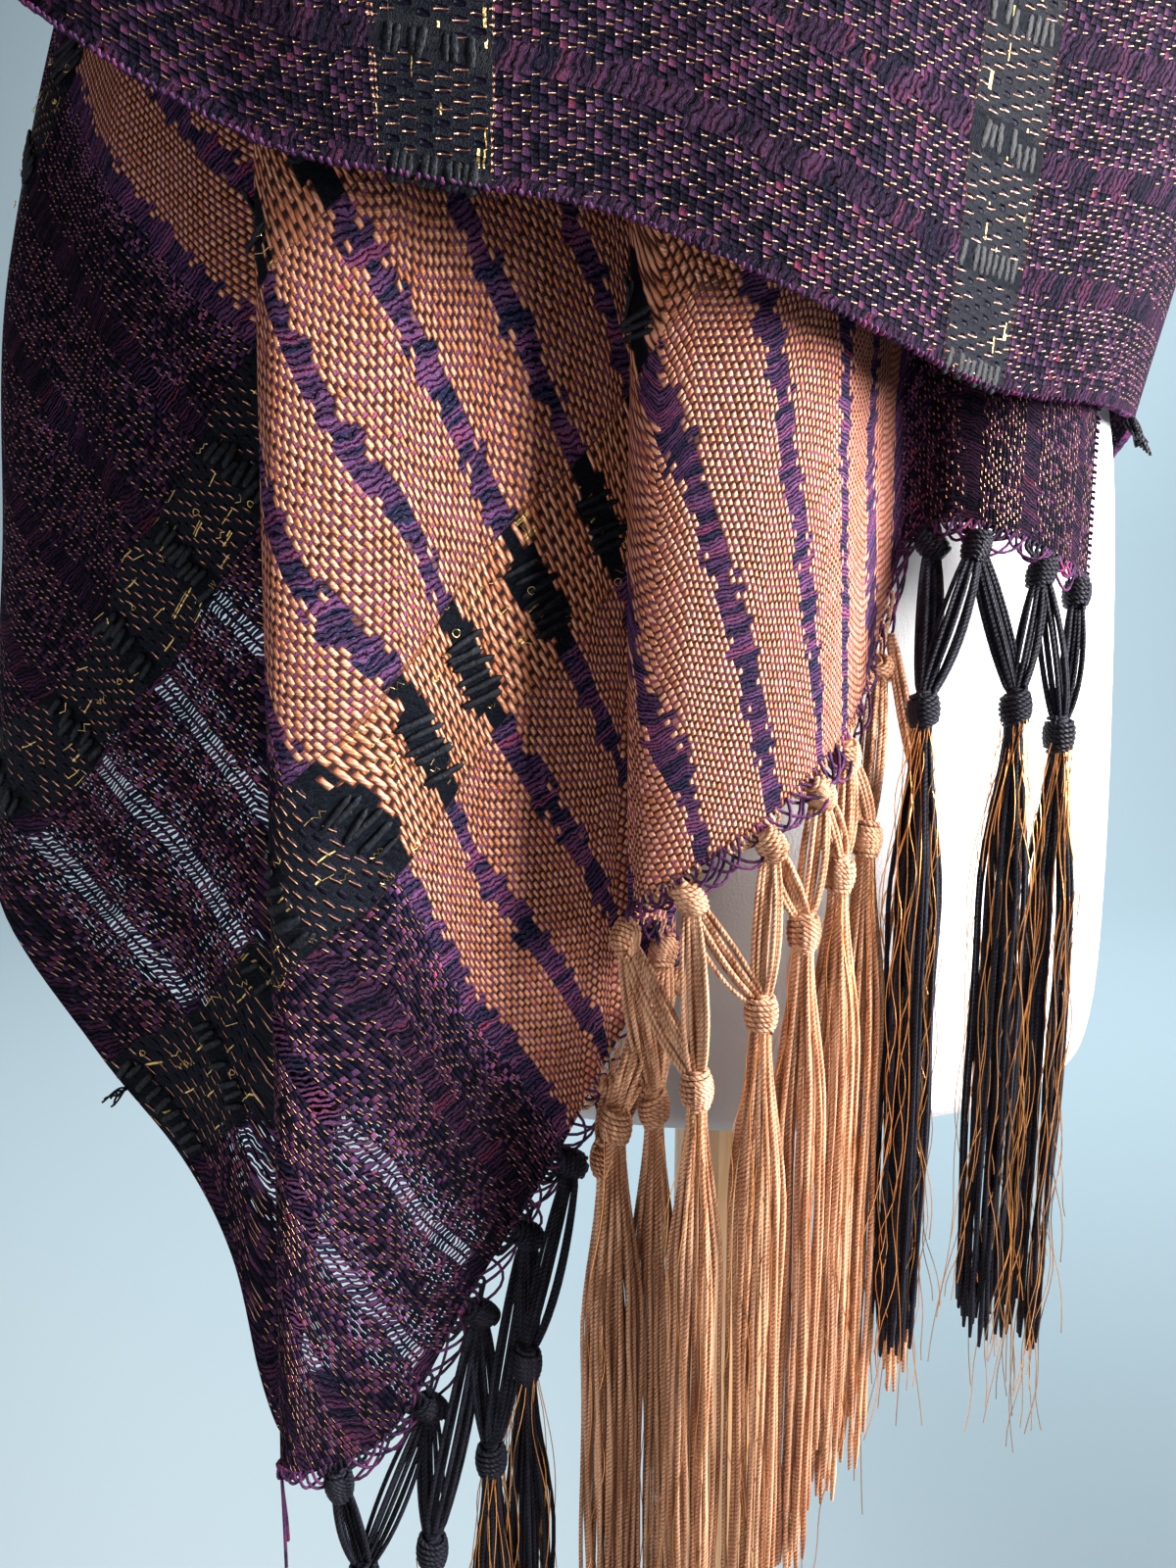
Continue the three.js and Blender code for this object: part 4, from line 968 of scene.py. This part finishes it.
# ---------------------------------------------------------------------------------------------------------
# The fringe of the second end, at the back. It is knotted like the first, with its tassels hanging straight
# below each pair of knots.

BACK_TASSEL_DROP = 44
BACK_PLACES = 13                    # the hem's width, in the places that the knots are counted in
ROWS_PER_PLACE = WRAP_ROWS / BACK_PLACES
BACK_FRINGE = {
    "dark_hem": (black_cord, "black_yarn", (0, 3.9), (0.5, 1.5, 2.5, 3.5)),
    "tan": (tan_cord, "tan_yarn", (4.1, 9.9), (4.6, 5.7, 6.7, 7.7, 8.7, 9.5)),
    "dark_neck": (black_cord, "black_yarn", (10.1, 13), (10.6, 11.6, 12.6)),
}
hanging_grid = wrap_grid[::-1].transpose(1, 0, 2)
for label, (cord, slot_name, hem, knots) in BACK_FRINGE.items():
    hangers = [edge_point(hanging_grid, (a + b) / 2 * ROWS_PER_PLACE, 0) + np.array([0, 2, -BACK_TASSEL_DROP])
               for a, b in zip(knots, knots[1:])]
    fringe = knotted_fringe("back_fringe_" + label, cord, hanging_grid, ROWS_PER_PLACE,
                            hem, knots, hangers)
    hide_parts("fringe_back_" + label)

# ---------------------------------------------------------------------------------------------------------
# The edges of the cloth. At a selvedge each weft pick turns back round the outer end, in a row of small
# loops. Past the last pick of an end the soft two-ply wool hangs in loose loops between the gathered groups.

WOOL_RADIUS = 0.55
LOOP_PITCH = 2.3


def wool_material():
    w = Wiring("plum wool")
    place = w.node("ShaderNodeTexCoord").outputs["Object"]
    along = w.node("ShaderNodeAttribute", {"attribute_name": "along"}).outputs["Fac"]
    dye = w.add(w.times(w.noise(place, 140.0, 3.0), 0.7), w.times(w.noise(place, 1500.0, 2.0), 0.3))
    ramp = w.node("ShaderNodeValToRGB", None, Fac=dye)
    stops = ramp.color_ramp.elements
    stops[0].position, stops[0].color = 0.35, (0.010, 0.011, 0.03, 1)
    stops[1].position, stops[1].color = 0.66, (0.26, 0.04, 0.13, 1)
    for position, colour in ((0.45, (0.05, 0.018, 0.06, 1)), (0.55, (0.13, 0.045, 0.14, 1))):
        stop = stops.new(position)
        stop.color = colour
    fibre = w.noise(place, 3200.0, 3.0)
    twist = w.maths("SINE", w.times(along, 2 * math.pi / 0.0022))
    relief = w.add(fibre, w.times(twist, 0.2))
    bump = w.node("ShaderNodeBump", None, Strength=0.9, Distance=0.0005, Height=relief)
    skin = w.node("ShaderNodeBsdfPrincipled", None, Base_Color=ramp.outputs[0], Roughness=0.85,
                  Specular_IOR_Level=0.15, Normal=bump.outputs[0])
    return w.finish(skin.outputs[0])


plum_wool = wool_material()


def selvedge(yarns, edge, inner):
    """Loops of weft round the outer end, along an edge given with the line of points next to it."""
    run = np.concatenate([[0], np.cumsum(np.linalg.norm(np.diff(edge, axis=0), axis=1))])
    places = np.arange(LOOP_PITCH / 2, run[-1], LOOP_PITCH)
    turn = np.linspace(-1.9, 1.9, 6)[:, None]
    for place in places + random.uniform(-0.5, 0.5, len(places)):
        centre = np.array([np.interp(place, run, edge[:, k]) for k in range(3)])
        beside = np.array([np.interp(place, run, inner[:, k]) for k in range(3)])
        ahead = np.array([np.interp(place + 2, run, edge[:, k]) - np.interp(place - 2, run, edge[:, k])
                          for k in range(3)])
        ahead = ahead / np.linalg.norm(ahead)
        outward = centre - beside
        outward = outward - ahead * np.dot(outward, ahead)
        outward = outward / np.linalg.norm(outward)
        face = np.cross(ahead, outward)
        size = random.uniform(0.2, 1.0)
        loop = (centre + outward * (size * np.cos(turn) - 0.5) + face * np.sin(turn) * 0.9
                + ahead * turn * random.uniform(0.1, 0.5))
        yarns.lay(loop, WOOL_RADIUS * random.uniform(0.85, 1.25))


def hem_loops(yarns, grid, columns_per_place, low, high, step, deepest):
    """Loose loops of weft below a hem, from one place on it to another."""
    share = np.linspace(0, 1, 9)
    place = low
    while place < high - step:
        reach = step * random.uniform(1.5, 5.0)
        start = edge_point(grid, place * columns_per_place, -1.5)
        end = edge_point(grid, min(place + reach, high) * columns_per_place, -1.5)
        down = edge_point(grid, (place + reach / 2) * columns_per_place, 1) - (start + end) / 2
        down = down / np.linalg.norm(down)
        width = np.linalg.norm(end - start)
        depth = min(deepest, 0.5 * width + 1.5) * random.uniform(0.6, 1.2)
        face = np.cross(end - start, down) / width
        sag = np.sin(math.pi * share) ** 0.7
        loop = (start + np.outer(share, end - start) + np.outer(sag, down * depth)
                + np.outer(np.sin(math.pi * share * 2), face * random.uniform(-1.5, 1.5)))
        yarns.lay(loop, WOOL_RADIUS)
        place += step * random.uniform(0.5, 1.1)


edges = Yarns()
selvedge(edges, front_grid[:, 0], front_grid[:, 2])
selvedge(edges, front_grid[:, -1], front_grid[:, -3])
selvedge(edges, wrap_grid[-1], wrap_grid[-2])
selvedge(edges, wrap_grid[0], wrap_grid[1])
edge_loops = edges.piece("selvedge_loops", plum_wool, 5)
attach(edge_loops, "root")

hem_yarn = Yarns()
hem_loops(hem_yarn, front_grid, STEPS_PER_COLUMN, 10.4, 31, 0.16, 11)
hem_loops(hem_yarn, hanging_grid, ROWS_PER_PLACE, 0, BACK_PLACES, 0.2, 7)
hem_pieces = hem_yarn.piece("hem_loops", plum_wool, 5)
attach(hem_pieces, "root")

# ---------------------------------------------------------------------------------------------------------
# Ribbon and gold thread in the bands. The black ribbon bulges in the ladders, where no warp holds it flat.
# A thin gold thread runs with it and comes up in small loops and zigzags.

GOLD_RADIUS = 0.16
BEAD_CHANCE = 0.9                   # that a place in a ladder has a fold of ribbon
GOLD_BITS = 5                       # at each crossing of a band and a ladder
LOOP_CHANCE = 0.22                  # that a bit of gold is a loop and not a zigzag
FARTHEST_SPOT = 3.5                 # mm that a place may lie from the nearest point of the cloth


def bead_mesh(rings=9, sides=6):
    """A plump fold of ribbon with unit half sizes, its length along X."""
    share = np.sin(np.linspace(-math.pi / 2, math.pi / 2, rings))
    girth = np.maximum(1.0 - share ** 4, 0.05) ** 0.5 * (1 + 0.1 * (-1.0) ** np.arange(rings))
    turn = np.linspace(0, 2 * math.pi, sides, endpoint=False)
    points = [(x, r * math.cos(t), r * math.sin(t)) for x, r in zip(share, girth) for t in turn]
    return points, ring_faces(rings, sides)


def ribbon_material():
    w = Wiring("black ribbon")
    place = w.node("ShaderNodeTexCoord").outputs["Object"]
    streak = w.noise(place, 700.0, 3.0)
    colour = w.tint(w.step_between(streak, 0.35, 0.75), (0.003, 0.004, 0.006, 1), (0.016, 0.022, 0.034, 1))
    bump = w.node("ShaderNodeBump", None, Strength=0.7, Distance=0.0005, Height=w.noise(place, 1500.0, 2.0))
    skin = w.node("ShaderNodeBsdfPrincipled", None, Base_Color=colour, Roughness=0.6, Specular_IOR_Level=0.2,
                  Normal=bump.outputs[0])
    return w.finish(skin.outputs[0])


def scatter_making():
    """A shape at every point, turned and sized as the point says."""
    m = Making("Scatter", Points="NodeSocketGeometry", Shape="NodeSocketObject",
               Material="NodeSocketMaterial")
    shape = m.node("GeometryNodeObjectInfo", None, Object=m.given["Shape"]).outputs["Geometry"]
    vector = {"data_type": "FLOAT_VECTOR"}
    turned = m.node("GeometryNodeInputNamedAttribute", vector, Name="turned").outputs[0]
    size = m.node("GeometryNodeInputNamedAttribute", vector, Name="size").outputs[0]
    rotation = m.node("FunctionNodeEulerToRotation", None, Euler=turned).outputs[0]
    placed = m.node("GeometryNodeInstanceOnPoints", None, Points=m.given["Points"], Instance=shape,
                    Rotation=rotation, Scale=size).outputs[0]
    m.close(placed, m.given["Material"])
    return m


def spot_on(grid, groups, distances, group, distance):
    """Where a group and a distance meet on a cloth: the point, and the weft, warp and outward directions."""
    miss = np.hypot((groups - group) * GROUP_PITCH, distances - distance)
    row, column = np.unravel_index(np.argmin(miss), miss.shape)
    row = min(max(row, 1), grid.shape[0] - 2)
    column = min(max(column, 1), grid.shape[1] - 2)
    if miss[row, column] > FARTHEST_SPOT:
        return None
    down = (grid[row + 1, column] - grid[row - 1, column]) / 2
    side = (grid[row, column + 1] - grid[row, column - 1]) / 2
    change = [[values[row + 1, column] - values[row - 1, column],
               values[row, column + 1] - values[row, column - 1]] for values in (groups, distances)]
    share = np.linalg.lstsq(np.array(change) / 2, np.array([0.0, 1.0]), rcond=None)[0]
    warp = down * share[0] + side * share[1]
    outward = np.cross(down, side)
    outward = outward / np.linalg.norm(outward)
    warp = warp / np.linalg.norm(warp)
    return grid[row, column], np.cross(warp, outward), warp, outward


class BandWork:
    """Collects the ribbon beads and the gold bits of the bands."""

    def __init__(self):
        self.places, self.turned, self.sizes = [], [], []
        self.gold = Yarns()

    def bead(self, spot, half_sizes):
        point, weft, warp, outward = spot
        askew = Matrix.Rotation(random.uniform(-0.15, 0.15), 3, "Z")
        turn = Matrix((weft, warp, outward)).transposed() @ askew
        self.places.append((point + outward * 0.5) * MM)
        self.turned.extend(turn.to_euler())
        self.sizes.extend(np.array(half_sizes) * MM * random.uniform(0.85, 1.1))

    def loop(self, spot):
        point, weft, warp, outward = spot
        turn = np.linspace(0, 2 * math.pi, 10)
        radius = random.uniform(0.7, 1.3)
        path = (point + outward * 1.1 + np.outer(np.cos(turn), weft) * radius
                + np.outer(np.sin(turn), warp) * radius + np.outer(np.sin(turn * 2), outward) * 0.4)
        self.gold.lay(path, GOLD_RADIUS)

    def zigzag(self, spot, length, width, turns):
        point, weft, warp, outward = spot
        share = np.linspace(-0.5, 0.5, turns)
        side = width * (-1.0) ** np.arange(turns)
        path = (point + outward * 1.1 + np.outer(share * length, weft) + np.outer(side, warp)
                + np.outer(random.uniform(-0.4, 0.4, turns), outward))
        self.gold.lay(path, GOLD_RADIUS)

    def work(self, grid, groups, distances, band, ladders, offsets, half_sizes):
        """Beads where a band crosses the ladders, and gold round them and along the band."""
        for ladder in ladders:
            for offset in offsets:
                spot = spot_on(grid, groups, distances, ladder, band + offset + random.uniform(-0.6, 0.6))
                if spot is not None and random.uniform() < BEAD_CHANCE:
                    self.bead(spot, half_sizes)
            for _ in range(GOLD_BITS):
                aside = ladder + random.uniform(-0.5, 0.5)
                offset = random.choice((-1, 1)) * random.uniform(3, 17)
                spot = spot_on(grid, groups, distances, aside, band + offset)
                if spot is not None and random.uniform() < LOOP_CHANCE:
                    self.loop(spot)
                elif spot is not None:
                    length, width = random.uniform(1.5, 5), random.uniform(0.2, 1.2)
                    self.zigzag(spot, length, width, int(random.integers(2, 7)))

    def pieces(self, name):
        mesh = bpy.data.meshes.new(name)
        mesh.from_pydata(self.places, [], [])
        for label, values in (("turned", self.turned), ("size", self.sizes)):
            mesh.attributes.new(label, "FLOAT_VECTOR", "POINT").data.foreach_set("vector", values)
        beads = grown(scatter, name + "_ribbon", mesh, Shape=bead, Material=black_ribbon)
        threads = self.gold.piece(name + "_gold", gold_thread, 4)
        for piece in (beads, threads):
            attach(piece, "root")


black_ribbon = ribbon_material()
gold_thread = metal_material("gold thread", (0.98, 0.72, 0.28, 1))
scatter = scatter_making()
bead = piece_from("bead", *bead_mesh(), black_ribbon)

front_work = BandWork()
for band in FRONT_BANDS:
    front_work.work(front_grid, front_group, front_distance, band, range(6, 17), np.arange(-8, 8.1, 1.8),
                    (6.6, 1.15, 0.7))
    front_work.work(front_grid, front_group, front_distance, band, range(0, 6), np.arange(-13, 13.1, 2.6),
                    (4.2, 1.4, 0.8))
front_work.pieces("front_bands")

wrap_lengths = np.broadcast_to(wrap_length, wrap_group.shape)
wrap_work = BandWork()
for band in band_lengths:
    wrap_work.work(wrap_grid, wrap_group, wrap_lengths, band, range(0, 19), np.arange(-12, 12.1, 3),
                   (4.4, 1.7, 0.9))
wrap_work.pieces("wrap_bands")
bpy.data.objects.remove(bead)


def loose_ends(name, start, reach, sag, count, radius, material):
    """Ends of yarn or ribbon left standing out at an edge, which droop a little."""
    ends = Yarns()
    share = np.linspace(0, 1, 9)[:, None]
    for _ in range(count):
        out = np.array(reach) * random.uniform(0.5, 1.1) + random.normal(0, 1.4, 3)
        curl = np.sin(share * random.uniform(2, 6)) * random.normal(0, 0.9, 3)
        ends.lay(start + out * share + curl - np.array([0, 0, sag]) * share ** 2, radius)
    piece = ends.piece(name, material, 5)
    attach(piece, "root")


loose_ends("ribbon_ends_front", front_grid[-1, 30], (-5, -2, -1), 2.0, 8, 0.4, black_cord)
loose_ends("ribbon_ends_wrap", wrap_grid[-1, 160], (5, -3, -9), 3.0, 14, 0.6, black_cord)
loose_ends("loose_weft", edge_point(front_grid, 10.7 * STEPS_PER_COLUMN, 0), (1, -1, -40), 6.0, 2, 0.6,
           plum_wool)

# ---------------------------------------------------------------------------------------------------------
# The cut of the shawl, one woven strip about 0.61 m wide. Both flat sizes are worked back from the model. The
# first end's area over 0.61 m gives a length of 0.50 m; its columns run 0.61 m on average. The wrap's mean
# width is 0.40 m, narrower than the strip, because no cloth is modelled under its one smooth layer.


# ---------------------------------------------------------------------------------------------------------
# The studio. A plain pale floor that curves up into a backdrop, and four soft lights: a window from the
# right, a weak sky from the left, a glow on the backdrop, and a low bounce from the floor in front.


def backdrop():
    """A floor that runs back and curves up into a wall."""
    half = 6.0
    radius = 1.2
    back = 4.2
    profile = [(-4.0, 0.0), (back - radius, 0.0)]
    for k in range(1, 17):
        turn = k / 16 * math.pi / 2
        profile.append((back - radius + radius * math.sin(turn), radius - radius * math.cos(turn)))
    profile.append((back, 6.0))
    points = [(x, y, z - 0.0005) for y, z in profile for x in (-half, half)]
    faces = [(2 * k, 2 * k + 1, 2 * k + 3, 2 * k + 2) for k in range(len(profile) - 1)]
    wires = Wiring("pale paper")
    paper = wires.node("ShaderNodeBsdfPrincipled", None, Base_Color=(0.59, 0.70, 0.745, 1), Roughness=0.9)
    return piece_from("backdrop", points, faces, wires.finish(paper.outputs[0]))


backdrop()


def area_light(name, place, target, size, power, colour, spread=180):
    light = bpy.data.lights.new(name, "AREA")
    light.spread = math.radians(spread)
    light.shape = "RECTANGLE"
    light.size, light.size_y = size
    light.energy = power
    light.color = colour
    lamp = bpy.data.objects.new(name, light)
    lamp.location = place
    lamp.visible_camera = False
    lamp.rotation_euler = (Vector(target) - Vector(place)).to_track_quat("-Z", "Y").to_euler()
    bpy.context.collection.objects.link(lamp)


area_light("window", (1.0, -0.37, 1.38), (0.05, -0.15, 1.2), (0.6, 0.9), 26, (1.0, 0.95, 0.92), 100)
area_light("left sky", (-1.5, -0.6, 0.7), (-0.1, -0.1, 0.7), (1.0, 1.0), 2.6, (0.95, 0.92, 1.0), 110)
area_light("backdrop glow", (0.8, 1.4, 3.0), (0.8, 3.7, 0.8), (4.0, 1.5), 140, (0.82, 0.93, 1.0))
area_light("floor bounce", (-0.25, -1.1, 0.3), (-0.03, -0.17, 0.56), (0.9, 0.9), 1.0, (1.0, 0.93, 0.88), 50)

world = bpy.data.worlds.new("soft sky")
world.use_nodes = True
world.node_tree.nodes["Background"].inputs["Color"].default_value = (0.95, 0.80, 0.74, 1)
world.node_tree.nodes["Background"].inputs["Strength"].default_value = 0.11
bpy.context.scene.world = world
bpy.context.scene.view_settings.view_transform = "Standard"

lens = bpy.data.cameras.new("camera")
lens.lens = 27
lens.sensor_width = 36
lens.clip_start = 0.02
camera = bpy.data.objects.new("camera", lens)
camera.location = (-0.067, -0.53, 1.036)
camera.rotation_euler = (math.radians(80), 0, 0)
bpy.context.collection.objects.link(camera)
bpy.context.scene.camera = camera
